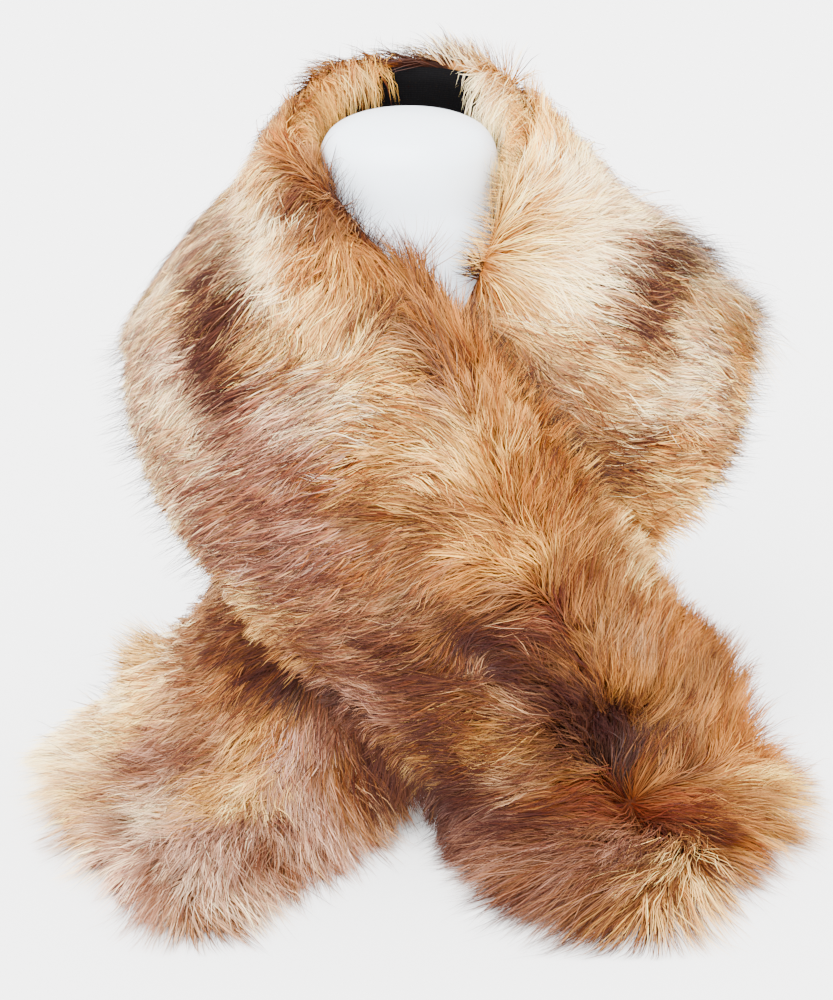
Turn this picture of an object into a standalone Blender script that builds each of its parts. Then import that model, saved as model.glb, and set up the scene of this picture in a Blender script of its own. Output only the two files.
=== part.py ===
"""Faux-fur scarf wound round the neck of a limbless display bust.

Metres, +Z up, front of the bust towards -Y. The origin is the middle of the bust's base.
The scarf is one long band. It starts at the end of the over tail (front right), climbs across
the chest, goes over the left shoulder, round the back of the neck and over the right shoulder,
passes under itself on the chest and ends as the under tail (front left).
"""

import math
from collections import namedtuple

import bmesh
import bpy
import numpy as np
from mathutils import Vector

for old in list(bpy.data.objects):
    bpy.data.objects.remove(old, do_unlink=True)

# Driving sizes
SEAM_GAP = 0.0003          # clearance between pieces that meet
LINING_THICKNESS = 0.0015  # black backing cloth
END_REACH = 0.034          # how far the pile reaches past the band's two short ends
ROW_SPACING = 0.020        # distance between the sections of the band's solids
COLUMNS = 12               # faces across the backing
REACH_SHARES = (0.45, 0.80, 1.00)   # columns of the pile past a long edge
REACH_HEIGHTS = (0.62, 0.44, 0.20)  # and their height as a share of the full pile
EDGE_HEIGHT = 0.72         # height of the pile above the edge of the backing
UNDER_SHARE = 0.94         # the underside of the pile past an edge stops this share of the way
BUST_SIDES = 44            # faces round the bust

# The bust, a row for each horizontal ring
Ring = namedtuple("Ring", "height half_width half_depth")
BUST_RINGS = [
    Ring(0.000, 0.108, 0.074),
    Ring(0.004, 0.111, 0.077),
    Ring(0.012, 0.112, 0.078),
    Ring(0.050, 0.110, 0.077),
    Ring(0.100, 0.108, 0.075),
    Ring(0.150, 0.112, 0.077),
    Ring(0.190, 0.121, 0.080),
    Ring(0.230, 0.134, 0.084),
    Ring(0.265, 0.145, 0.084),
    Ring(0.288, 0.151, 0.081),
    Ring(0.306, 0.149, 0.077),
    Ring(0.322, 0.137, 0.072),
    Ring(0.334, 0.120, 0.067),
    Ring(0.344, 0.101, 0.063),
    Ring(0.353, 0.083, 0.060),
    Ring(0.363, 0.069, 0.058),
    Ring(0.375, 0.0585, 0.0550),
    Ring(0.395, 0.0560, 0.0540),
    Ring(0.406, 0.0535, 0.0520),
    Ring(0.415, 0.0470, 0.0460),
    Ring(0.421, 0.0350, 0.0345),
    Ring(0.424, 0.0200, 0.0200),
]
BUST_TOP = 0.425

# The band's sections. inner is the edge beside the neck, outer the edge on the shoulders and
# middle the line between them. pile is the height of the fur above the backing, and the last two
# columns are how far it reaches past each edge.
Section = namedtuple("Section", "name inner middle outer pile inner_reach outer_reach")
SECTIONS = [
    Section("over end", (.226, -.106, .000), (.198, -.172, .000), (.142, -.230, .000), .024, .030, .030),
    Section("over floor", (.212, -.078, .014), (.154, -.146, .006), (.086, -.196, .000), .025, .034, .032),
    Section("over knee", (.194, -.060, .060), (.118, -.124, .048), (.038, -.160, .018), .025, .034, .032),
    Section("over shin", (.160, -.084, .118), (.078, -.142, .108), (-.010, -.158, .084), .025, .030, .032),
    Section("over belly", (.110, -.120, .200), (.026, -.146, .174), (-.066, -.138, .142), .025, .024, .034),
    Section("over chest", (.060, -.122, .272), (-.026, -.142, .236), (-.115, -.118, .192), .025, .022, .036),
    Section("over throat", (.006, -.100, .325), (-.072, -.116, .290), (-.150, -.078, .244), .025, .016, .036),
    Section("over collar", (-.046, -.056, .369), (-.106, -.066, .336), (-.164, -.028, .278), .024, .014, .032),
    Section("over shoulder", (-.069, .004, .404), (-.120, .006, .348), (-.165, .018, .278), .022, .012, .028),
    Section("over nape", (-.047, .062, .430), (-.078, .080, .350), (-.122, .099, .282), .020, .010, .024),
    Section("nape", (.002, .080, .436), (.002, .092, .352), (.002, .120, .272), .020, .010, .022),
    Section("under nape", (.051, .062, .430), (.082, .080, .350), (.128, .099, .284), .020, .010, .024),
    Section("under shoulder", (.074, .006, .404), (.132, .006, .350), (.188, .016, .288), .022, .012, .030),
    Section("under collar", (.057, -.050, .362), (.128, -.062, .336), (.194, -.022, .280), .022, .006, .032),
    Section("under throat", (.034, -.076, .318), (.110, -.090, .280), (.182, -.058, .222), .018, .005, .036),
    Section("under chest", (-.012, -.089, .270), (.054, -.096, .222), (.140, -.074, .162), .012, .010, .034),
    Section("under belly", (-.062, -.092, .210), (-.002, -.102, .156), (.064, -.098, .100), .012, .012, .016),
    Section("under shin", (-.108, -.084, .142), (-.056, -.108, .094), (-.004, -.120, .044), .016, .024, .020),
    Section("under knee", (-.150, -.052, .070), (-.104, -.110, .040), (-.054, -.162, .008), .024, .032, .030),
    Section("under floor", (-.186, -.042, .026), (-.150, -.116, .006), (-.096, -.192, .000), .025, .034, .032),
    Section("under end", (-.226, -.072, .000), (-.194, -.156, .000), (-.136, -.236, .000), .024, .030, .030),
]

# The stretches that show, each from one section to another
Stretch = namedtuple("Stretch", "name first last")
STRETCHES = [
    Stretch("over_tail", "over end", "over belly"),
    Stretch("over_front", "over belly", "over collar"),
    Stretch("over_shoulder", "over collar", "over nape"),
    Stretch("neck_back", "over nape", "under nape"),
    Stretch("under_shoulder", "under nape", "under throat"),
    Stretch("under_front", "under throat", "under shin"),
    Stretch("under_tail", "under shin", "under end"),
]

# Folds of the band that show in its pile: a trough or ridge laid from a start to an end point,
# both given as (row of SECTIONS, place across), with its half width in rows and its depth.
Fold = namedtuple("Fold", "name start_row start_across end_row end_across half_width depth")
FOLDS = [
    Fold("collar roll, left", 7.2, -0.45, 8.9, -0.20, 0.30, 0.006),
    Fold("collar roll, front", 6.1, -0.30, 7.4, -0.15, 0.28, 0.005),
    Fold("collar fold, left back", 8.3, 0.35, 9.6, 0.10, 0.34, 0.006),
    Fold("collar fold, right", 12.1, -0.10, 13.3, 0.30, 0.32, 0.006),
    Fold("shoulder trough, right", 12.8, 0.55, 14.0, 0.45, 0.30, 0.006),
    Fold("chest trough, upper", 5.6, -0.35, 5.0, -0.70, 0.24, 0.005),
    Fold("chest trough, lower", 3.9, 0.05, 3.3, 0.30, 0.28, 0.007),
    Fold("chest ridge", 4.6, -0.10, 3.9, -0.30, 0.30, -0.004),
    Fold("over tail hollow", 1.9, -0.25, 2.5, -0.20, 0.30, 0.008),
    Fold("over tail bend", 1.4, 0.75, 1.6, 0.10, 0.34, 0.005),
    Fold("under tail bend", 18.0, -0.80, 18.3, 0.20, 0.34, 0.006),
    Fold("under tail trough", 18.9, 0.10, 19.6, 0.25, 0.28, 0.005),
]
FOLD_ACROSS_PER_ROW = 0.75   # one row of SECTIONS is about as long as this much of the way across

FUR_COLOUR = (0.50, 0.27, 0.12, 1.0)
LINING_COLOUR = (0.012, 0.011, 0.012, 1.0)
BUST_COLOUR = (0.86, 0.89, 0.92, 1.0)


def make_material(name, colour, roughness):
    material = bpy.data.materials.new(name)
    material.use_nodes = True
    shader = material.node_tree.nodes["Principled BSDF"]
    shader.inputs["Base Color"].default_value = colour
    shader.inputs["Roughness"].default_value = roughness
    shader.inputs["Metallic"].default_value = 0.0
    return material


def catmull_rom(values, position):
    """Smooth curve through the rows of values; position counts rows from 0."""
    last = len(values) - 1
    i = min(max(int(math.floor(position)), 0), last - 1)
    t = position - i
    p1, p2 = values[i], values[i + 1]
    p0 = values[i - 1] if i > 0 else 2 * p1 - p2
    p3 = values[i + 2] if i + 2 <= last else 2 * p2 - p1
    return 0.5 * (
        2 * p1
        + (p2 - p0) * t
        + (2 * p0 - 5 * p1 + 4 * p2 - p3) * t ** 2
        + (3 * p1 - p0 - 3 * p2 + p3) * t ** 3
    )


class Band:
    """The backing surface of the whole scarf, by distance along it and place across it.

    along runs in metres from the over end; across is -1 on the inner edge and 1 on the outer.
    """

    def __init__(self, sections):
        self.rows = np.array([[*s.inner, *s.middle, *s.outer, *s[4:]] for s in sections])
        fine = 40
        self.steps = np.linspace(0, len(sections) - 1, (len(sections) - 1) * fine + 1)
        line = np.array([catmull_rom(self.rows, p)[3:6] for p in self.steps])
        jumps = np.linalg.norm(np.diff(line, axis=0), axis=1)
        self.lengths = np.concatenate([[0.0], np.cumsum(jumps)])
        self.length = float(self.lengths[-1])
        self.stations = {s.name: float(self.lengths[i * fine]) for i, s in enumerate(sections)}

    def row(self, along):
        inside = min(max(along, 0.0), self.length)
        return catmull_rom(self.rows, float(np.interp(inside, self.lengths, self.steps)))

    def fold_depth(self, along, across):
        """How far the top of the pile sinks at a place, from all the folds that reach it."""
        inside = min(max(along, 0.0), self.length)
        here = np.array([float(np.interp(inside, self.lengths, self.steps)), across / FOLD_ACROSS_PER_ROW])
        total = 0.0
        for fold in FOLDS:
            start = np.array([fold.start_row, fold.start_across / FOLD_ACROSS_PER_ROW])
            end = np.array([fold.end_row, fold.end_across / FOLD_ACROSS_PER_ROW])
            line = end - start
            t = min(max(float((here - start) @ line / (line @ line)), 0.0), 1.0)
            away = float(np.linalg.norm(here - start - line * t))
            total += fold.depth * math.exp(-((away / fold.half_width) ** 2))
        return total

    def point(self, along, across):
        row = self.row(along)
        inner, middle, outer = row[0:3], row[3:6], row[6:9]
        held = min(max(across, -1.0), 1.0)
        place = inner * (held * (held - 1) / 2) + middle * (1 - held ** 2) + outer * (held * (held + 1) / 2)
        place[2] = max(place[2], 0.0)
        return place

    def axes(self, along, across):
        """Unit vectors along the band, across it towards the outer edge, and out of its fur side."""
        step = 0.002
        a = min(max(along, step), self.length - step)
        c = min(max(across, -1 + step), 1 - step)
        forward = self.point(a + step, c) - self.point(a - step, c)
        side = self.point(a, c + step) - self.point(a, c - step)
        forward /= np.linalg.norm(forward)
        out = np.cross(forward, side)
        out /= np.linalg.norm(out)
        side = np.cross(out, forward)
        return forward, side, out


def solid_from_grids(name, upper, lower, material):
    """A closed solid between two grids of points of the same size, lower under upper."""
    rows, columns = len(upper), len(upper[0])
    mesh = bpy.data.meshes.new(name)
    bm = bmesh.new()
    top = [[bm.verts.new(p) for p in row] for row in upper]
    bottom = [[bm.verts.new(p) for p in row] for row in lower]

    def quad(a, b, c, d):
        bm.faces.new((a, b, c))
        bm.faces.new((a, c, d))

    for i in range(rows - 1):
        for j in range(columns - 1):
            quad(top[i][j], top[i + 1][j], top[i + 1][j + 1], top[i][j + 1])
            quad(bottom[i + 1][j + 1], bottom[i + 1][j], bottom[i][j], bottom[i][j + 1])
    for i in range(rows - 1):
        quad(top[i][0], bottom[i][0], bottom[i + 1][0], top[i + 1][0])
        quad(top[i][-1], top[i + 1][-1], bottom[i + 1][-1], bottom[i][-1])
    for j in range(columns - 1):
        quad(top[0][j], top[0][j + 1], bottom[0][j + 1], bottom[0][j])
        quad(top[-1][j], bottom[-1][j], bottom[-1][j + 1], top[-1][j + 1])
    bmesh.ops.recalc_face_normals(bm, faces=bm.faces)
    bm.to_mesh(mesh)
    bm.free()
    mesh.shade_smooth()
    mesh.set_sharp_from_angle(angle=math.radians(50))
    made = bpy.data.objects.new(name, mesh)
    bpy.context.scene.collection.objects.link(made)
    made.data.materials.append(material)
    return made


def stretch_span(band, stretch):
    """Where a stretch starts and ends, with half a seam gap taken off where it meets the next."""
    first, last = band.stations[stretch.first], band.stations[stretch.last]
    if first > 0:
        first += SEAM_GAP / 2
    if last < band.length:
        last -= SEAM_GAP / 2
    return first, last


def section_distances(first, last):
    return np.linspace(first, last, max(2, round((last - first) / ROW_SPACING)) + 1)


def fur_rows(band, first, last):
    """(distance along the backing, share of the reach past an end, share of the pile) per section."""
    rows = [(along, 0.0, 1.0) for along in section_distances(first, last)]
    caps = list(zip(REACH_SHARES, REACH_HEIGHTS))
    if first == 0:
        rows = [(0.0, -share, height) for share, height in reversed(caps)] + rows
    if last == band.length:
        rows += [(band.length, share, height) for share, height in caps]
    return rows


def fur_columns():
    """(place across the backing, share of the reach past an edge, share of the pile height)."""
    columns = []
    for k in range(COLUMNS + 1):
        across = -1 + 2 * k / COLUMNS
        columns.append((across, 0.0, EDGE_HEIGHT + (1 - EDGE_HEIGHT) * math.sqrt(1 - across ** 2)))
    past = list(zip(REACH_SHARES, REACH_HEIGHTS))
    before = [(-1.0, share, height) for share, height in reversed(past)]
    after = [(1.0, share, height) for share, height in past]
    return before + columns + after


def make_fur(band, stretch, material):
    """The pile of one stretch: from the backing up to the tips, past the edges as far as the fur."""
    first, last = stretch_span(band, stretch)
    under = LINING_THICKNESS + SEAM_GAP
    columns = fur_columns()
    upper, lower = [], []
    for along, end_share, end_height in fur_rows(band, first, last):
        pile, inner_reach, outer_reach = band.row(along)[9:12]
        ahead = Vector(band.axes(along, 0.0)[0]) * END_REACH
        top_row, bottom_row = [], []
        for across, share, height in columns:
            place = Vector(band.point(along, across))
            out = Vector(band.axes(along, across)[2])
            reach = -inner_reach if across < 0 else outer_reach
            aside = Vector(band.axes(along, math.copysign(0.5, across))[1]) * reach
            round_side = share * math.sqrt(1 - end_share ** 2 / 2)
            round_end = end_share * math.sqrt(1 - share ** 2 / 2)
            past = aside * round_side + ahead * round_end
            low = place + past * UNDER_SHARE + out * under
            thick = pile * height * end_height
            sink = min(band.fold_depth(along, across), 0.45 * thick) * (1 - share) * (1 - abs(end_share))
            high = place + past + out * (under + thick - sink)
            low.z = max(low.z, 0.0)
            high.z = max(high.z, low.z + 0.002)
            top_row.append(high)
            bottom_row.append(low)
        upper.append(top_row)
        lower.append(bottom_row)
    return solid_from_grids("fur_" + stretch.name, upper, lower, material)


def make_lining(band, stretch, material):
    """The black backing cloth under one stretch of the pile."""
    first, last = stretch_span(band, stretch)
    upper, lower = [], []
    for along in section_distances(first, last):
        top_row, bottom_row = [], []
        for k in range(COLUMNS + 1):
            across = -1 + 2 * k / COLUMNS
            place = Vector(band.point(along, across))
            out = Vector(band.axes(along, across)[2])
            top_row.append(place + out * LINING_THICKNESS)
            bottom_row.append(place)
        upper.append(top_row)
        lower.append(bottom_row)
    return solid_from_grids("lining_" + stretch.name, upper, lower, material)


def make_bust(material):
    """Smooth limbless bust: neck cap, sloping shoulders and a trunk down to a flat base."""
    mesh = bpy.data.meshes.new("bust_form")
    bm = bmesh.new()
    loops = []
    for ring in BUST_RINGS:
        loop = []
        for k in range(BUST_SIDES):
            turn = 2 * math.pi * k / BUST_SIDES
            place = (ring.half_width * math.cos(turn), ring.half_depth * math.sin(turn), ring.height)
            loop.append(bm.verts.new(place))
        loops.append(loop)
    for lower, upper in zip(loops, loops[1:]):
        for k in range(BUST_SIDES):
            n = (k + 1) % BUST_SIDES
            bm.faces.new((lower[k], lower[n], upper[n], upper[k]))
    bm.faces.new(list(reversed(loops[0])))
    crown = bm.verts.new((0, 0, BUST_TOP))
    for k in range(BUST_SIDES):
        bm.faces.new((loops[-1][k], loops[-1][(k + 1) % BUST_SIDES], crown))
    bmesh.ops.recalc_face_normals(bm, faces=bm.faces)
    bm.to_mesh(mesh)
    bm.free()
    mesh.shade_smooth()
    mesh.set_sharp_from_angle(angle=math.radians(50))
    made = bpy.data.objects.new("bust_form", mesh)
    bpy.context.scene.collection.objects.link(made)
    made.data.materials.append(material)
    return made


def main():
    fur = make_material("fur", FUR_COLOUR, 0.8)
    lining = make_material("lining", LINING_COLOUR, 0.7)
    bust = make_material("bust", BUST_COLOUR, 0.35)
    band = Band(SECTIONS)
    make_bust(bust)
    for stretch in STRETCHES:
        make_fur(band, stretch, fur)
        make_lining(band, stretch, lining)


main()
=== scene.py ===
# Long-pile faux-fur scarf wound on a limbless white bust form: pile, backing cloth and bust finish
import math

import bpy
import numpy as np
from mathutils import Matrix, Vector
from mathutils.bvhtree import BVHTree
from mathutils.kdtree import KDTree


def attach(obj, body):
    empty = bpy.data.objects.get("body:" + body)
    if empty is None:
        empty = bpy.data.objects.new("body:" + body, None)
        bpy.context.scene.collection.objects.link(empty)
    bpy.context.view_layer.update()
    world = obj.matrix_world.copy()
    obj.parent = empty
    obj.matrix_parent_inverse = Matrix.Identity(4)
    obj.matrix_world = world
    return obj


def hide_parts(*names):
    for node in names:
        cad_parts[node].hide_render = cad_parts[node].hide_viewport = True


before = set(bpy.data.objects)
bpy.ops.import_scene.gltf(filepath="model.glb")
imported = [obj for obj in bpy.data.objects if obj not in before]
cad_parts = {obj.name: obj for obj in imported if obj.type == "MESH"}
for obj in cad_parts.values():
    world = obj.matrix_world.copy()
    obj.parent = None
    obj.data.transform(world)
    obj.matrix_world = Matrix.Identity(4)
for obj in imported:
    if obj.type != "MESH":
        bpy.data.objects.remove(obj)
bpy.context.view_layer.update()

# The band's sections in metres, from the over tail's end to the under tail's end:
# inner edge, middle, outer edge, pile height, reach of the pile past the inner and the outer edge
sections = np.array([
    (.226, -.106, .000, .198, -.172, .000, .142, -.230, .000, .024, .030, .030),
    (.212, -.078, .014, .154, -.146, .006, .086, -.196, .000, .025, .034, .032),
    (.194, -.060, .060, .118, -.124, .048, .038, -.160, .018, .025, .034, .032),
    (.160, -.084, .118, .078, -.142, .108, -.010, -.158, .084, .025, .030, .032),
    (.110, -.120, .200, .026, -.146, .174, -.066, -.138, .142, .025, .024, .034),
    (.060, -.122, .272, -.026, -.142, .236, -.115, -.118, .192, .025, .022, .036),
    (.006, -.100, .325, -.072, -.116, .290, -.150, -.078, .244, .025, .016, .036),
    (-.046, -.056, .369, -.106, -.066, .336, -.164, -.028, .278, .024, .014, .032),
    (-.069, .004, .404, -.120, .006, .348, -.165, .018, .278, .022, .012, .028),
    (-.047, .062, .430, -.078, .080, .350, -.122, .099, .282, .020, .010, .024),
    (.002, .080, .436, .002, .092, .352, .002, .120, .272, .020, .010, .022),
    (.051, .062, .430, .082, .080, .350, .128, .099, .284, .020, .010, .024),
    (.074, .006, .404, .132, .006, .350, .188, .016, .288, .022, .012, .030),
    (.057, -.050, .362, .128, -.062, .336, .194, -.022, .280, .022, .006, .032),
    (.034, -.076, .318, .110, -.090, .280, .182, -.058, .222, .018, .005, .036),
    (-.012, -.089, .270, .054, -.096, .222, .140, -.074, .162, .012, .010, .034),
    (-.062, -.092, .210, -.002, -.102, .156, .064, -.098, .100, .012, .012, .016),
    (-.108, -.084, .142, -.056, -.108, .094, -.004, -.120, .044, .016, .024, .020),
    (-.150, -.052, .070, -.104, -.110, .040, -.054, -.162, .008, .024, .032, .030),
    (-.186, -.042, .026, -.150, -.116, .006, -.096, -.192, .000, .025, .034, .032),
    (-.226, -.072, .000, -.194, -.156, .000, -.136, -.236, .000, .024, .030, .030),
])

# Name, first and last section, and how many strands each stretch of the band gets
stretches = [
    ("over_tail", 0, 4, 38000),
    ("over_front", 4, 7, 38000),
    ("over_shoulder", 7, 9, 22400),
    ("neck_back", 9, 11, 15400),
    ("under_shoulder", 11, 14, 31600),
    ("under_front", 14, 17, 7000),
    ("under_tail", 17, 20, 28600),
]

# Folds of the band: start and end as (section, place across), half width in sections, depth
folds = [
    (7.2, -.45, 8.9, -.20, .30, .006),
    (6.1, -.30, 7.4, -.15, .28, .005),
    (8.3, .35, 9.6, .10, .34, .006),
    (12.1, -.10, 13.3, .30, .32, .006),
    (12.8, .55, 14.0, .45, .30, .006),
    (5.6, -.35, 5.0, -.70, .24, .005),
    (3.9, .05, 3.3, .30, .28, .007),
    (4.6, -.10, 3.9, -.30, .30, -.004),
    (1.9, -.25, 2.5, -.20, .30, .008),
    (1.4, .75, 1.6, .10, .34, .005),
    (18.0, -.80, 18.3, .20, .34, .006),
    (18.9, .10, 19.6, .25, .28, .005),
]
acrossPerSection = .75  # one section along is about as long as this much of the way across

# Which way the nap lies: (section, place across, angle), the angle as seen from the front and
# above, in degrees from the right, counter-clockwise
napPlaces = [
    (-.3, -.5, 350), (-.3, 0, 300), (-.3, .5, 258), (-.2, -.8, 25), (-.1, .6, 252), (-.1, 1.3, 246),
    (0, .1, 320), (.4, -.8, 45), (.5, .8, 238), (.6, -.1, 325), (.7, 1.2, 220), (1.5, .6, 185),
    (1.6, 1.2, 205), (1.7, -.9, 68), (1.7, -.3, 75), (2.2, .6, 175), (2.4, 1.1, 190), (2.4, 1.3, 268),
    (2.6, -.3, 105), (2.7, -.2, 125), (2.7, .8, 172), (2.7, 1.2, 250), (2.8, -.9, 70), (3, .2, 150),
    (3, 1.1, 200), (3.1, -.6, 92), (3.2, -.8, 78), (3.2, .5, 165), (3.3, -.3, 135), (3.3, 1, 165),
    (3.4, .3, 262), (3.5, 1, 165), (3.7, -1.1, 62), (3.8, -.7, 88), (3.8, .6, 180), (3.9, -.1, 210),
    (4, 1.1, 176), (4.1, .1, 235), (4.2, -1.2, 60), (4.2, .8, 188), (4.3, -.5, 150), (4.4, -.9, 82),
    (4.5, .1, 205), (4.5, 1.2, 192), (4.6, -.9, 95), (4.6, -.3, 165), (4.6, .3, 200), (4.8, -1.3, 72),
    (4.8, -.5, 140), (4.8, .8, 205), (4.9, -.9, 88), (4.9, 1.1, 207), (5, -.4, 180), (5.1, -.6, 140),
    (5.2, -1, 95), (5.2, -.1, 200), (5.3, .2, 205), (5.4, -.6, 165), (5.4, .9, 215), (5.5, -1.2, 108),
    (5.6, -.6, 182), (5.7, -.2, 200), (5.8, -1.1, 118), (5.9, 0, 207), (6, 1.1, 212), (6.2, -.5, 276),
    (6.2, .8, 215), (6.3, -.3, 255), (6.5, -.9, 292), (6.8, .6, 207), (6.9, -.7, 262), (7, -.3, 208),
    (7.2, -.9, 250), (7.2, -.1, 230), (7.5, -.6, 245), (7.5, .6, 215), (7.6, -1.2, 100), (8.1, -1, 120),
    (10.8, -.9, 110), (11.9, -1.3, 98), (12.3, -1.1, 78), (12.3, -.1, 25), (12.4, -.8, 68),
    (12.5, -.5, 45), (12.7, 0, 5), (12.9, -.9, 30), (13.1, -.6, 0), (13.2, -.2, 340), (13.3, .6, 352),
    (13.4, -.6, 330), (13.6, -.8, 305), (13.6, .1, 345), (13.7, -.6, 310), (13.7, .9, 352),
    (14, 0, 330), (14.1, .5, 345), (14.3, .9, 355), (14.5, .7, 350), (17.4, .2, 262), (17.5, -.2, 225),
    (17.5, 1.1, 286), (17.8, 1, 280), (17.9, .7, 271), (18.1, -.7, 192), (18.1, .3, 238),
    (18.2, -1.2, 172), (18.3, -.1, 212), (18.6, 1, 268), (19.1, .5, 243), (19.1, .9, 264),
    (19.3, -.5, 197), (19.6, -1, 185), (19.6, 1.3, 275), (20.1, -.6, 190), (20.1, .2, 222),
    (20.1, .8, 258), (20.2, 1.3, 288), (20.4, -.2, 200),
    # sides and back of the neck, and the stretch that the crossing hides
    (8.2, .2, 232), (8.5, .7, 240), (8.8, -.3, 215), (9, .4, 246), (9, .9, 250), (9.4, -.5, 165),
    (9, -1, 150), (9.9, -1, 170), (9, -.6, 190), (9.5, .2, 258), (9.6, .8, 262), (10, -.6, 200),
    (10, .1, 270), (10, .8, 270), (10.5, .2, 282), (10.6, .8, 280), (10.8, -.5, 330),
    (11.2, -.8, 20), (11, .4, 294), (11.1, .9, 290), (11.5, .2, 305), (11.6, .8, 300),
    (12, .3, 325), (12.1, .8, 318), (14.8, -.4, 290), (15, .8, 350), (15.6, -.8, 215),
    (15.8, .2, 280), (16.3, .8, 300), (16.6, -.7, 195), (16.8, .2, 262), (17, .9, 290),
]
viewTilt = math.radians(25)  # height of the view that the angles are read in

# Colours of the pile along a strand's main length, as linear albedo
tones = {
    "cream": (.93, .68, .29),
    "sand": (.62, .36, .105),
    "gold": (.47, .215, .036),
    "honey": (.34, .155, .033),
    "tan": (.23, .105, .040),
    "amber": (.24, .082, .0145),
    "rust": (.088, .030, .0098),
    "umber": (.036, .0105, .0048),
    "ember": (.070, .0125, .0045),
    "mauve": (.195, .082, .043),
    "plum": (.066, .025, .0150),
    "blush": (.31, .160, .094),
    "shell": (.60, .390, .225),
    "straw": (.56, .325, .072),
    "copper": (.150, .054, .0125),
    "soot": (.030, .014, .011),
}

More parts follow.
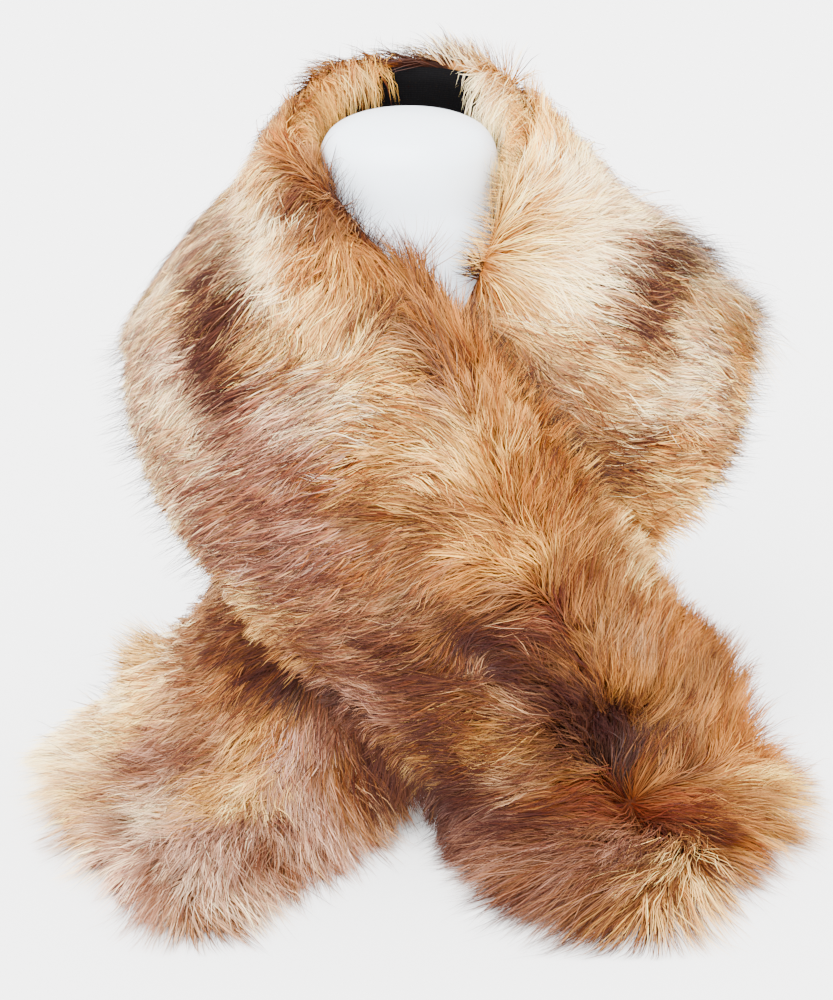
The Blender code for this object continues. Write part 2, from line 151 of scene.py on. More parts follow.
# Where each tone lies: (section, place across, tone, share of strands with dark tips). A few dark entries
# are painted shade, noted where they stand
tonePlaces = [
    (-.45, -.1, "honey", .1), (-.45, .5, "copper", .1), (-.45, 1.1, "honey", .2),
    (-.35, 1.3, "umber", .4), (-.25, .7, "sand", .05), (-.15, -.8, "straw", .05),
    (-.15, .1, "amber", .1), (-.15, .6, "sand", .05), (.1, -.4, "copper", .05), (.1, .3, "umber", .1),
    (.1, .8, "rust", .2), (.2, 1.2, "rust", .2), (.3, -1.1, "amber", .05), (.4, .2, "ember", .1),
    (.6, .9, "mauve", .2), (.7, 1.3, "plum", .5), (1, .9, "rust", .3), (1.1, .2, "rust", .1),
    (1.2, -.5, "rust", .05), (1.2, 1.1, "mauve", .4), (1.4, -.9, "amber", .05),
    # the soot at (1.9, -.1) is painted shade that darkens the hollow of the over tail
    (1.5, -.2, "copper", .1), (1.5, .3, "ember", .2), (1.6, 1.2, "plum", .5), (1.9, -.1, "soot", .4),
    (1.9, .4, "copper", .1), (2.2, -.8, "copper", .1), (2.3, -.5, "copper", .05), (2.3, .7, "tan", .3),
    (2.3, .9, "plum", .5), (2.4, -.2, "umber", .1), (2.5, 1.1, "soot", .5), (2.7, -.1, "umber", .1),
    (2.7, .1, "umber", .2), (2.7, .3, "rust", .3), (2.8, -1, "amber", .05), (2.8, -.4, "amber", .05),
    (2.8, .6, "honey", .2), (2.8, 1.1, "honey", .4), (2.9, .8, "umber", .5), (3, 1.2, "umber", .6),
    (3.1, -.7, "tan", .05), (3.1, .1, "umber", .2), (3.1, .3, "tan", .2), (3.1, .6, "rust", .3),
    (3.1, 1, "mauve", .2), (3.1, 1.3, "umber", .3), (3.2, -.9, "amber", .05), (3.3, -.5, "amber", .05),
    (3.3, -.1, "rust", .1), (3.3, .7, "rust", .5), (3.3, 1.2, "soot", .8), (3.4, -.4, "umber", .1),
    (3.5, 0, "umber", .2), (3.5, .2, "soot", .6), (3.5, 1, "mauve", .2), (3.6, -1.2, "sand", .1),
    (3.6, -1, "copper", .1), (3.6, -.3, "ember", .05), (3.6, .4, "copper", .2), (3.7, .6, "umber", .4),
    (3.7, .8, "tan", .5), (3.8, -.9, "copper", .1), (3.8, -.2, "tan", .1), (3.8, 1.1, "rust", .4),
    (3.9, -.1, "rust", .1), (3.9, .2, "rust", .2), (4, -.6, "copper", .1), (4, -.1, "amber", .05),
    (4.1, -1, "copper", .1), (4.1, .3, "tan", .2), (4.1, 1.2, "honey", .5), (4.2, -.8, "amber", .1),
    (4.2, -.5, "gold", 0), (4.2, .5, "tan", .3), (4.2, .8, "tan", .5), (4.3, -1.3, "honey", .4),
    (4.3, -.3, "gold", .05), (4.3, -.1, "amber", .1), (4.4, .1, "tan", .2), (4.4, 1, "sand", .4),
    (4.5, -1, "amber", .3), (4.5, -.7, "amber", .1), (4.5, .3, "amber", .2), (4.6, -.5, "copper", .1),
    (4.6, 1.3, "tan", .5), (4.7, -1, "amber", .3), (4.7, -.4, "amber", .1), (4.7, -.2, "rust", .2),
    (4.7, .5, "blush", .5), (4.8, .2, "tan", .5), (4.8, .8, "blush", .5), (4.9, -.6, "gold", .05),
    (4.9, -.1, "honey", .2), (5, -1, "amber", .1), (5, -.9, "honey", .1), (5.1, -.5, "sand", .1),
    (5.1, .4, "mauve", .3), (5.2, .1, "honey", .3), (5.2, .7, "tan", .6), (5.2, 1.2, "cream", .5),
    (5.3, -.4, "honey", .2), (5.3, -.1, "honey", .2), (5.4, -1, "amber", .15), (5.4, -.7, "tan", .1),
    (5.4, .1, "blush", .3), (5.4, .4, "mauve", .4), (5.4, .8, "blush", .35), (5.4, 1.1, "cream", .4),
    (5.7, -1, "amber", .1), (5.7, -.8, "umber", .1), (5.7, -.5, "gold", .15), (5.7, -.2, "cream", .2),
    (5.7, .1, "shell", .3), (5.7, .4, "blush", .3), (5.7, .7, "cream", .3), (5.8, .3, "mauve", .2),
    (5.8, 1.1, "cream", .6), (5.9, -.8, "tan", .1), (5.9, -.5, "sand", .1), (5.9, 0, "shell", .3),
    (6, -1, "umber", .2), (6, .7, "cream", .15), (6.1, -1.3, "copper", .1), (6.1, -.8, "rust", .1),
    (6.1, -.2, "honey", .2), (6.1, 0, "honey", .3), (6.1, .3, "umber", .5), (6.2, -1, "amber", .05),
    (6.2, 1.2, "cream", .7), (6.3, -.5, "sand", .15), (6.3, -.3, "sand", .1), (6.3, 0, "sand", .2),
    (6.4, -.8, "gold", .1), (6.4, .2, "umber", .5), (6.5, -.9, "amber", .05), (6.5, -.5, "amber", .1),
    (6.5, .1, "umber", .95), (6.5, .6, "shell", .3), (6.6, -.2, "cream", 0), (6.6, 1.1, "cream", .5),
    (6.7, -.9, "copper", .1), (6.7, -.1, "cream", 0), (6.7, .1, "umber", .6), (6.8, .1, "umber", .5),
    (6.9, -.2, "cream", 0), (6.9, .1, "umber", .6), (6.9, .4, "sand", .4), (6.9, .8, "cream", .4),
    (7, -.8, "rust", .1), (7.1, -.5, "cream", .1), (7.1, 0, "tan", .4), (7.2, -.7, "rust", .1),
    (7.2, .5, "cream", .3), (7.4, -.9, "rust", .1), (7.4, .1, "cream", .4), (7.5, -.4, "cream", .05),
    (7.5, 0, "rust", .7), (7.6, -.6, "sand", .2), (7.6, -.1, "cream", .2), (7.7, -.9, "amber", .2),
    (7.8, -.4, "cream", .1), (8.1, -1.2, "honey", .1), (8.3, -1.3, "honey", .2),
    (8.7, -1.3, "gold", .1), (9.2, -1.3, "sand", .1), (9.3, -.9, "umber", .3), (9.6, -1.3, "gold", .1),
    (10, -1.3, "umber", .2), (10.3, -1.3, "soot", .4), (10.6, -1.3, "cream", .1),
    (10.6, .2, "straw", 0), (10.8, -1.3, "cream", .05), (10.8, -.9, "tan", .1), (11, -.8, "tan", .1),
    (11.3, -1.3, "cream", 0), (12.1, -1.1, "gold", 0), (12.3, 0, "cream", 0), (12.4, -1.2, "sand", .05),
    (12.4, -.8, "cream", .05), (12.4, .2, "cream", .2), (12.5, -.4, "cream", 0), (12.5, .4, "soot", .9),
    (12.5, .6, "cream", .2), (12.5, .8, "cream", .2), (12.5, 1.1, "cream", 0), (12.7, -.8, "gold", 0),
    (12.7, .2, "rust", .5), (12.7, .3, "rust", .5), (12.8, -.2, "cream", .05), (12.9, .5, "sand", .3),
    (13, -.7, "straw", 0), (13, .1, "umber", .5), (13.1, -.4, "cream", 0), (13.1, 1, "gold", .4),
    (13.2, -.9, "straw", 0), (13.2, -.1, "cream", .1), (13.2, .6, "cream", .15),
    (13.3, .1, "umber", .9), (13.3, .3, "rust", .6), (13.4, -.6, "sand", .05), (13.4, -.5, "cream", 0),
    (13.4, -.2, "cream", 0), (13.5, -.8, "gold", .1), (13.5, .6, "cream", .2), (13.5, 1.2, "sand", .5),
    (13.6, 0, "sand", .2), (13.6, .2, "sand", .2), (13.7, -.3, "sand", .1), (13.7, .7, "cream", .2),
    (13.8, -.1, "sand", .2), (13.8, .2, "sand", .1), (13.8, 1.2, "tan", .5), (13.9, -.9, "rust", .3),
    (13.9, -.8, "tan", .3), (13.9, -.6, "honey", .1), (13.9, .8, "honey", .4), (14, .4, "cream", .1),
    (14.1, -.2, "tan", .4), (14.2, .1, "tan", .3), (14.3, .2, "honey", .3), (14.3, .4, "rust", .6),
    (14.3, .6, "rust", .6), (14.3, .8, "gold", .5), (14.4, 1, "sand", .2), (14.6, .7, "honey", .3),
    # the soot at (17.3, 0) and the umber at (17.4, -.3) are painted shadow, cast on the under tail by the
    # over band's fringe where it crosses
    (14.7, 1, "honey", .2), (14.7, 1.2, "sand", .2), (17.3, -1.2, "tan", .5), (17.3, 0, "soot", .95),
    (17.4, -.7, "rust", .6), (17.4, -.3, "umber", .6), (17.5, .5, "mauve", .2), (17.5, .8, "rust", .2),
    (17.5, 1.2, "tan", .3), (17.6, -1, "tan", .4), (17.6, .1, "copper", .3), (17.7, -.4, "copper", .3),
    (17.7, .5, "blush", .1), (17.7, .9, "copper", .1), (18, .2, "honey", .1), (18, .8, "blush", .1),
    (18, 1.1, "blush", .1), (18, 1.3, "blush", .2), (18.1, -.7, "tan", .2), (18.2, -1.2, "cream", .2),
    (18.3, -.1, "tan", .1), (18.6, .7, "sand", .05), (18.6, 1, "blush", .1), (18.6, 1.2, "rust", .1),
    (18.8, -.8, "sand", .1), (18.8, -.1, "mauve", .1), (19.1, .5, "honey", .05),
    (19.2, .9, "mauve", .1), (19.3, 1.2, "shell", .1), (19.4, -1.2, "cream", .1),
    (19.5, -.2, "mauve", .15), (19.6, -.6, "sand", .1), (19.6, .2, "shell", .1),
    (19.7, .7, "blush", .1), (19.8, 1.1, "shell", .1), (19.8, 1.3, "rust", .2), (20, -.7, "cream", .05),
    (20, 0, "tan", .1), (20, .5, "shell", 0), (20.15, .9, "mauve", .1), (20.25, 1.3, "tan", .1),
    (20.35, -.1, "sand", .1), (20.35, .5, "mauve", .6), (20.45, -.6, "cream", .05),
    # back of the neck, and the stretch that the crossing hides
    (8, .8, "sand", .5), (8.6, -.8, "copper", .3), (8.9, -1.2, "amber", .3), (8.8, .3, "tan", .3),
    (9, .9, "honey", .4), (9.6, .2, "honey", .2), (9.1, -1, "tan", .2), (9.5, -1.1, "copper", .2),
    (11.2, -1.1, "gold", .1), (10, .2, "sand", .2), (10, .9, "tan", .4), (11.3, .4, "honey", .2),
    (11.4, 1, "tan", .4), (12, .4, "cream", .1), (12.2, .8, "rust", .6), (12.5, 1, "sand", .4),
    (12.3, 1.2, "sand", .5), (15.2, 0, "umber", .6), (16, 0, "umber", .5), (16, 1, "umber", .5),
    (17, 0, "umber", .6), (17.3, 1, "umber", .7),
]

# The cushion of short under-fur that the strands grow from
skinShape = {
    "height": .42,          # as a share of the pile's
    "reach": .36,           # its roll past an edge, as a share of the pile's reach
    "edgeHeight": .72,      # share of the height that the edges have
    "crown": .28,           # and what the middle has more
    "leastHeight": .25,     # share of the height that a deep fold leaves
    "endReach": .034,       # reach of the pile past the band's short ends
    "rise": .0018,          # it starts this far above the backing's underside
    "overFloor": .0012,     # and stays this far above the surface that the tails lie on
    "rowStep": .0055,
    "columns": 24,
    "underColumns": 11,
    "lipSteps": 7,
    "capSteps": 5,
    "endSections": .45,     # the roll past a short end counts as this part of a section
    "edgeAcross": .35,      # and the roll past an edge as this much more of the way across
    # the inner edge rolls further out along the left side of the neck opening
    "innerRoll": {5: 1, 5.8: 1.7, 7.2: 2.2, 8: 1.4, 9: 1, 12.6: 1, 13.4: 1.8, 14.2: 1},
}

pile = {
    "seed": 41,
    # where the longest ends begin to bend back: axis, side, place, and how much further they reach
    "limits": [(1, -1, .270, .014), (1, 1, .144, .011), (2, 1, .450, .016),
               (0, -1, .264, .018), (0, 1, .264, .018)],
    "offBust": .0012,
    "offFloor": .0008,      # of the strands, and of the curves' own control points
    "curveOffFloor": .0006,
    "strandLength": .045,
    "strandWidth": .00062,
    "widthRange": (.7, 1.25),
    "twist": .004,          # spread of the way a strand's flat side faces
    "strandSegments": 3,
    "placePower": .9,       # under 1, the root's tint takes less of the strand
    "taperPower": 1.8,
    "lengthSpread": .16,
    "lengthRange": (.018, .060),
    "topLength": .80,       # share of the length away from the edges
    "rise": (.56, .16),     # how high a strand's end lies, as a share of the pile, and its spread
    "riseRange": (.15, 1),
    "pathSteps": 6,
    "riseBend": 1.8,        # a strand rises early and lies down towards its tip
    "tipDip": .25,
    "edgeTurn": .25,        # angle round an edge, in radians, past which a strand grows free
    "edgeLift": .42,        # how steeply it then leaves the cushion
    "droop": .14,
    "stray": .13,           # how far a strand's direction strays from the nap
    "lock": .0190,          # spacing of the big locks
    "lockPull": .28,
    "lockLength": .10,      # spread of the length from lock to lock
    "lockStray": .16,
    "tuft": .0062,          # spacing of the fine tufts
    "tuftPull": .62,
    "tuftLength": .08,
    "tuftStray": .15,
    "wave": .0010,          # sideways waviness of tufts
    "strandWave": .45,      # and of a strand in its tuft, as a share of that
    "lean": (0, .30, .72, 1.0),     # how far it leans to its tuft's middle strand, root to tip
    "leanRange": (.6, 1),
    "parting": (1.7, .011),         # strands with tips further apart than this lean less
    # longer, finer dark hairs that stand out of the locks
    "guardShare": .09,
    "guard": {"length": 1.18, "rise": 1.25, "width": .6, "pull": .25, "darkShare": .5},
    "darkTipped": {"length": 1.05, "rise": 1.40, "width": 1.25, "most": .95, "lessAtEdge": .6,
                   "judgedAt": .9, "depth": (.6, 1)},
    "hiddenDensity": .12,   # share of strands kept where another layer covers the pile
    "turnedUnder": 2.4,     # angle round an edge from which fewer strands grow
    "underDensity": .35,
    # half width of the unrolled band, and its length round an edge and an end for each radian
    "unrolled": (.09, .006, .010),
    "nearEdge": (.6, .4),   # the edges' own length starts here on the way across, and blends in
    # length of the strands on the rolled edges, as a share of the main length, by section
    "outerEdge": {0: 1.5, .7: 1.4, 1.4: .9, 2.1: .38, 2.5: .3, 3.1: .3, 4: .42, 4.6: .25, 5.8: .3,
                  7: .25, 8.6: .25, 9: .55, 11: .6, 11.7: .8, 12.1: 1.2, 12.5: .9, 13: .6, 14: .45,
                  15: .36, 17: .75, 18: .9, 19: 1.1, 20: 1.0},
    "innerEdge": {0: .9, 1.2: .8, 1.8: .75, 2.6: .4, 3.6: .4, 5: .6, 6: .9, 7.2: .7, 8: .55, 10: .7,
                  12.5: .75, 13.4: 1.25, 14.5: .5, 16.8: .5, 17.2: .25, 17.8: .3, 18.2: 1.0,
                  18.8: .35, 19.5: .6, 20: .7},
    "overEndCap": 1.15,
    "underEndCap": .42,
}
randomness = np.random.default_rng(pile["seed"])

# Round the back of the neck the inner edge's pile falls inwards over the backing
fallLook = {
    "sections": (7.4, 9.5, 11.05, 12.7),    # first, last, and between them where the backing shows
    "blend": .5,
    "openBlend": .30,
    "turn": 2.2,            # angle round the edge up to which it still grows stronger
    "weight": 1.6,          # against the nap
    "from": .2,             # angle from which the strands stand closer
    "density": 2.5,
    "shorter": .22,
    "halfShorter": .5,      # and where the fall is only half as strong
    "stray": 1.6,
    "droop": .75,
    "looser": .45,          # how much less a strand leans to its tuft
}

# How sharply the listed values are kept apart, and how soft each one's own middle is
blending = {"nap": 1.7, "tone": 3.0, "fullness": 2.0, "softness": .012}


def unit(vectors):
    return vectors / np.maximum(np.linalg.norm(vectors, axis=-1, keepdims=True), 1e-9)


def smoothThrough(values, places):
    # smooth curve through the rows of values, at places counted in rows
    last = len(values) - 1
    i = np.clip(np.floor(places).astype(int), 0, last - 1)
    t = (places - i)[:, None]
    padded = np.vstack([2 * values[0] - values[1], values, 2 * values[-1] - values[-2]])
    before, start, end, after = (padded[i + k] for k in range(4))
    return .5 * (2 * start + (end - before) * t + (2 * before - 5 * start + 4 * end - after) * t ** 2
                 + (3 * start - before - 3 * end + after) * t ** 3)


# Distance along the band's middle line, for each place counted in sections
stepsPerSection = 40
fineSections = np.linspace(0, len(sections) - 1, (len(sections) - 1) * stepsPerSection + 1)
middleLine = smoothThrough(sections, fineSections)[:, 3:6]
fineLengths = np.concatenate([[0], np.cumsum(np.linalg.norm(np.diff(middleLine, axis=0), axis=1))])
bandLength = float(fineLengths[-1])


def sectionAt(along):
    return np.interp(along, fineLengths, fineSections)


def lengthAt(section):
    return np.interp(section, fineSections, fineLengths)


def backingPoint(along, across):
    # the backing's underside, a curve through a section's three places; across runs from -1 on
    # the inner edge to 1 on the outer
    row = smoothThrough(sections, sectionAt(np.clip(along, 0, bandLength)))
    c = np.clip(across, -1, 1)[:, None]
    place = row[:, 0:3] * (c * (c - 1) / 2) + row[:, 3:6] * (1 - c ** 2) + row[:, 6:9] * (c * (c + 1) / 2)
    place[:, 2] = np.maximum(place[:, 2], 0)
    return place


def backingAxes(along, across):
    # forward along the band, sideways to the outer edge, and out of the pile side
    step = .002
    a = np.clip(along, step, bandLength - step)
    c = np.clip(across, -1 + step, 1 - step)
    forward = unit(backingPoint(a + step, c) - backingPoint(a - step, c))
    side = backingPoint(a, c + step) - backingPoint(a, c - step)
    out = unit(np.cross(forward, side))
    return forward, np.cross(out, forward), out


def foldDepth(section, across):
    here = np.stack([section, across / acrossPerSection], axis=1)
    total = np.zeros(len(here))
    for startRow, startAcross, endRow, endAcross, halfWidth, depth in folds:
        start = np.array([startRow, startAcross / acrossPerSection])
        line = np.array([endRow, endAcross / acrossPerSection]) - start
        t = np.clip((here - start) @ line / (line @ line), 0, 1)
        away = np.linalg.norm(here - start - t[:, None] * line, axis=1)
        total += depth * np.exp(-(away / halfWidth) ** 2)
    return total


# Where the pile lies lower or stands fuller: (section, place across, share of the usual rise)
fullness = [
    (7.8, -.2, .38), (7.6, .2, .38), (7.3, .6, .6), (8.3, .2, .5), (7.2, -.5, .9), (6.5, 0, 1),
    (5, 0, 1), (4, 0, 1), (2.8, -.7, .6), (3.4, -.9, .6), (1.3, -.8, .85), (2.4, 1, .6), (2.9, 0, 1),
    (9.5, 0, 1), (10.5, 0, 1), (12.2, .2, 1.5), (12.2, .7, 1.7), (12, -.6, 1), (13.1, 0, 1),
    (13.2, .6, .8), (13.8, .6, .8), (14.5, 0, 1), (2, 0, 1), (0, 0, 1), (17, 0, 1), (19, 0, 1),
    (20, 0, 1),
]


def alongTable(table, section):
    return np.interp(section, list(table.keys()), list(table.values()))


def crowned(height, across):
    # the pile's height, lower at the edges than in the middle
    middle = np.sqrt(np.clip(1 - across ** 2, 0, 1))
    return height * (skinShape["edgeHeight"] + skinShape["crown"] * middle)


def keepAbove(height, points):
    points[..., 2] = np.maximum(points[..., 2], height)
    return points


def makeSkin():
    # The cushion as a grid of rows along and columns across. A column is a place across with an
    # angle round the rolled edge, and a row may lie past a short end.
    body = np.linspace(0, bandLength, round(bandLength / skinShape["rowStep"]) + 1)
    turn = np.linspace(0, math.pi / 2, skinShape["capSteps"] + 1)[1:]
    along = np.concatenate([np.zeros(len(turn)), body, np.full(len(turn), bandLength)])
    capTurn = np.concatenate([-turn[::-1], np.zeros(len(body)), turn])
    lip = np.linspace(0, math.pi, skinShape["lipSteps"] + 1)[1:]
    top = np.linspace(-1, 1, skinShape["columns"] + 1)
    across = np.concatenate([np.full(len(lip), -1.), top, np.full(len(lip), 1.)])
    lipTurn = np.concatenate([lip[::-1], np.zeros(len(top)), lip])
    rows, columns = len(along), len(across)
    a, c = np.repeat(along, columns), np.tile(across, rows)
    cap, roll = np.repeat(capTurn, columns), np.tile(lipTurn, rows)
    section, row = sectionAt(a), smoothThrough(sections, sectionAt(a))
    out = backingAxes(a, c)[2]
    sideAtEdge = backingAxes(a, np.where(c < 0, -.5, .5))[1]
    forwardAtMiddle = backingAxes(a, np.zeros(len(a)))[0]
    height = crowned(row[:, 9], c) * skinShape["height"]
    sink = foldDepth(section, c) * (roll == 0) * np.cos(cap)
    height = np.maximum(height - sink, skinShape["leastHeight"] * height)
    reach = np.where(c < 0, -row[:, 10] * alongTable(skinShape["innerRoll"], section), row[:, 11])
    reach = reach * skinShape["reach"]
    lift = height / 2 + height / 2 * np.cos(roll)
    past = reach * np.sin(roll) * np.cos(cap)
    # past a short end the section closes on its own middle height
    lift = height / 2 + (lift - height / 2) * np.cos(cap)
    ahead = skinShape["endReach"] * skinShape["reach"] * np.sin(cap)
    points = (backingPoint(a, c) + out * (skinShape["rise"] + lift)[:, None]
              + sideAtEdge * past[:, None] + forwardAtMiddle * ahead[:, None])
    points = keepAbove(skinShape["overFloor"], points)
    # the underside, from the outer edge back to the inner
    under = np.linspace(1, -1, skinShape["underColumns"] + 2)[1:-1]
    underA, underC = np.repeat(along, len(under)), np.tile(under, rows)
    underCap = np.repeat(capTurn, len(under))
    underHeight = crowned(smoothThrough(sections, sectionAt(underA))[:, 9], underC)
    underLift = skinShape["rise"] + underHeight * skinShape["height"] / 2 * (1 - np.cos(underCap))
    underAhead = skinShape["endReach"] * skinShape["reach"] * np.sin(underCap)
    underPoints = (backingPoint(underA, underC) + backingAxes(underA, underC)[2] * underLift[:, None]
                   + backingAxes(underA, np.zeros(len(underA)))[0] * underAhead[:, None])
    underPoints = keepAbove(skinShape["overFloor"], underPoints)
    pastEdge = skinShape["edgeAcross"] * np.sin(np.minimum(roll, math.pi / 2))
    grid = {
        "under": underPoints.reshape(rows, len(under), 3),
        "points": points.reshape(rows, columns, 3),
        "section": (section + skinShape["endSections"] * np.sin(cap)).reshape(rows, columns),
        "across": (c * (1 + pastEdge)).reshape(rows, columns),
        "roll": roll.reshape(rows, columns),
        "cap": cap.reshape(rows, columns),
        "pile": row[:, 9].reshape(rows, columns),
        "aside": (sideAtEdge * np.sign(c)[:, None]).reshape(rows, columns, 3),
        "ahead": (forwardAtMiddle * np.sign(cap)[:, None]).reshape(rows, columns, 3),
        "firstTop": len(lip), "lastTop": len(lip) + skinShape["columns"],
        "firstBody": len(turn), "lastBody": len(turn) + len(body) - 1,
    }
    grid["alongStep"] = np.gradient(grid["points"], axis=0)
    grid["acrossStep"] = np.gradient(grid["points"], axis=1)
    grid["normal"] = unit(np.cross(grid["alongStep"], grid["acrossStep"]))
    return grid


def sample(layer, g, h):
    # value of a grid layer at fractional row g and column h
    rows, columns = layer.shape[:2]
    g, h = np.clip(g, 0, rows - 1.0001), np.clip(h, 0, columns - 1.0001)
    i, j = g.astype(int), h.astype(int)
    u, v = g - i, h - j
    if layer.ndim == 3:
        u, v = u[:, None], v[:, None]
    return (layer[i, j] * (1 - u) * (1 - v) + layer[i + 1, j] * u * (1 - v)
            + layer[i, j + 1] * (1 - u) * v + layer[i + 1, j + 1] * u * v)


def nearPlaces(skin, places, values, sharpness):
    # blends the values of the listed points over the whole skin, nearest ones strongest
    flat = np.stack([skin["section"].ravel(), skin["across"].ravel() / acrossPerSection], axis=1)
    spots = np.array([(p[0], p[1] / acrossPerSection) for p in places])
    total, blended = np.zeros(len(flat)), np.zeros((len(flat), values.shape[1]))
    for spot, value in zip(spots, values):
        away = np.linalg.norm(flat - spot, axis=1)
        share = 1 / (away ** 2 + blending["softness"]) ** sharpness
        total += share
        blended += share[:, None] * value
    return (blended / total[:, None]).reshape(*skin["section"].shape, values.shape[1])


def seenWay(degrees):
    # direction in space of angles that are read in the photo's view
    angles = np.radians(degrees)
    return np.stack([np.cos(angles), np.sin(angles) * math.sin(viewTilt),
                     np.sin(angles) * math.cos(viewTilt)], axis=1)


def napField(skin):
    lying = seenWay([p[2] for p in napPlaces])
    field = unit(nearPlaces(skin, napPlaces, lying, blending["nap"]))
    # on the rolled edges and short ends the nap also turns outwards
    inner, outer, atEnd = .35, .8, .8
    outward = np.where(skin["across"] < 0, inner, outer) * np.sin(skin["roll"])
    field = field + skin["aside"] * outward[..., None]
    field = field + skin["ahead"] * (atEnd * np.abs(np.sin(skin["cap"])))[..., None]
    # round the back of the neck the inner edge falls inwards over the backing
    fall = fallIn(skin) * np.sin(np.clip(skin["roll"], 0, fallLook["turn"]))
    over = unit(-skin["acrossStep"])
    field = field * (1 - fall[..., None]) + over * (fallLook["weight"] * fall)[..., None]
    flatField = field - skin["normal"] * np.sum(field * skin["normal"], axis=-1, keepdims=True)
    return unit(flatField)


def fallIn(skin):
    # 1 where the pile of the inner edge hangs in towards the neck
    start, openFrom, openTo, end = fallLook["sections"]
    blend, openBlend, s = fallLook["blend"], fallLook["openBlend"], skin["section"]
    rising = np.clip((s - start) / blend, 0, 1) * np.clip((end - s) / blend, 0, 1)
    opening = np.clip((s - openFrom) / openBlend, 0, 1) * np.clip((openTo - s) / openBlend, 0, 1)
    return rising * (1 - opening) * (skin["across"] < 0)


def toneField(skin):
    # colour and share of dark tips; colours blend by their logarithms, so dark patches stay dark
    values = np.array([(*tones[p[2]], p[3]) for p in tonePlaces])
    values[:, :3] = np.log(values[:, :3])
    field = nearPlaces(skin, tonePlaces, values, blending["tone"])
    field[..., :3] = np.exp(field[..., :3])
    return field


def coveredField(skin):
    # 1 where the backing of another layer lies close over the skin
    start, reach = .004, .05    # metres out from the skin
    covered = np.zeros(skin["section"].shape)
    trees = []
    for name, *_ in stretches:
        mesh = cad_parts["lining_" + name].data
        faces = [tuple(p.vertices) for p in mesh.polygons]
        trees.append(BVHTree.FromPolygons([v.co for v in mesh.vertices], faces))
    for i in range(0, covered.shape[0], 2):
        for j in range(covered.shape[1]):
            place, way = Vector(skin["points"][i, j]), Vector(skin["normal"][i, j])
            hit = any(t.ray_cast(place + way * start, way, reach)[0] is not None for t in trees)
            covered[i:i + 2, j] = hit
    return covered


def growPaths(skin, g, h, length, rise, stray, droop):
    # walks each strand from its root along the nap; past an edge it goes straight on and droops
    steps, edgeTurn = pile["pathSteps"], pile["edgeTurn"]
    place = sample(skin["points"], g, h)
    normal = unit(sample(skin["normal"], g, h))
    roll = sample(skin["roll"], g, h)
    cap = np.abs(sample(skin["cap"], g, h))
    heading = unit(sample(skin["nap"], g, h) + stray)
    heading = unit(heading - normal * np.sum(heading * normal, axis=1, keepdims=True))
    loose = (roll > edgeTurn) | (cap > edgeTurn)
    heading = np.where(loose[:, None], unit(heading + normal * pile["edgeLift"]), heading)
    points, stepLength = [place], (length / steps)[:, None]
    low, high = skin["firstTop"] - .5, skin["lastTop"] + .5
    first, last = skin["firstBody"] - .5, skin["lastBody"] + .5
    for k in range(steps):
        # the step in metres is turned into rows and columns of the grid
        along, across = sample(skin["alongStep"], g, h), sample(skin["acrossStep"], g, h)
        move = unit(sample(skin["nap"], g, h) + stray) * stepLength
        aa, cc, ac = np.sum(along * along, 1), np.sum(across * across, 1), np.sum(along * across, 1)
        am, cm = np.sum(along * move, 1), np.sum(across * move, 1)
        size = np.maximum(aa * cc - ac ** 2, 1e-14)
        nextG, nextH = g + (am * cc - cm * ac) / size, h + (cm * aa - am * ac) / size
        leaving = (nextH < low) | (nextH > high) | (nextG < first) | (nextG > last)
        loose = loose | leaving
        g, h = np.where(loose, g, nextG), np.where(loose, h, nextH)
        share = (k + 1) / steps
        lift = rise * (1 - (1 - share) ** pile["riseBend"]) - rise * pile["tipDip"] * share ** 3
        onSkin = sample(skin["points"], g, h) + unit(sample(skin["normal"], g, h)) * lift[:, None]
        fall = np.array([0, 0, -1.]) * (stepLength * (droop * share)[:, None])
        straight = points[-1] + heading * stepLength + fall
        place = np.where(loose[:, None], straight, onSkin)
        heading = unit(place - points[-1])
        points.append(place)
        if k == steps // 2:
            middle = g, h
    return np.stack(points[::steps // 3], axis=1), middle, (g, h)  # root, thirds and tip


def keepOffBust(points):
    # pushes points out of the bust, whose rings are read from its own mesh
    leastAway = .2      # so that a point near its middle line isn't thrown far out
    co = np.array([v.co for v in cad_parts["bust_form"].data.vertices])
    levels = np.unique(np.round(co[:, 2], 4))
    rings = [np.abs(co[np.abs(co[:, 2] - z) < 2e-4, :2]).max(axis=0) for z in levels]
    halfWidth, halfDepth = np.array(rings).T
    flat = points.reshape(-1, 3)
    wide = np.interp(flat[:, 2], levels, halfWidth, right=0) + pile["offBust"]
    deep = np.interp(flat[:, 2], levels, halfDepth, right=0) + pile["offBust"]
    away = np.sqrt((flat[:, 0] / wide) ** 2 + (flat[:, 1] / deep) ** 2)
    inside = (away < 1) & (flat[:, 2] < levels[-1])
    push = np.where(inside, 1 / np.maximum(away, leastAway), 1)
    flat[:, :2] *= push[:, None]
    return keepAbove(pile["offFloor"], flat).reshape(points.shape)


def holdIn(points):
    # bends the longest ends back, so that the pile stays within its limits
    for axis, side, limit, give in pile["limits"]:
        over = np.maximum(side * points[:, :, axis] - limit, 0)
        points[:, :, axis] -= side * (over - give * (1 - np.exp(-over / give)))


def gather(spots, spacing):
    # nearest of evenly spread lock centres for each root, by place on the unrolled band
    order = randomness.permutation(len(spots))
    cells, centres = {}, []
    for i in order:
        key = (int(spots[i, 0] // spacing), int(spots[i, 1] // spacing))
        if key not in cells:
            cells[key] = i
            centres.append(i)
    tree = KDTree(len(centres))
    for k, i in enumerate(centres):
        tree.insert((spots[i, 0], spots[i, 1], 0), k)
    tree.balance()
    nearest = np.array([tree.find((x, y, 0))[1] for x, y in spots])
    return np.array(centres), nearest


def cellMeans(layer):
    # value of each cell of the grid, from two opposite corners
    return (layer[:-1, :-1] + layer[1:, 1:]) / 2


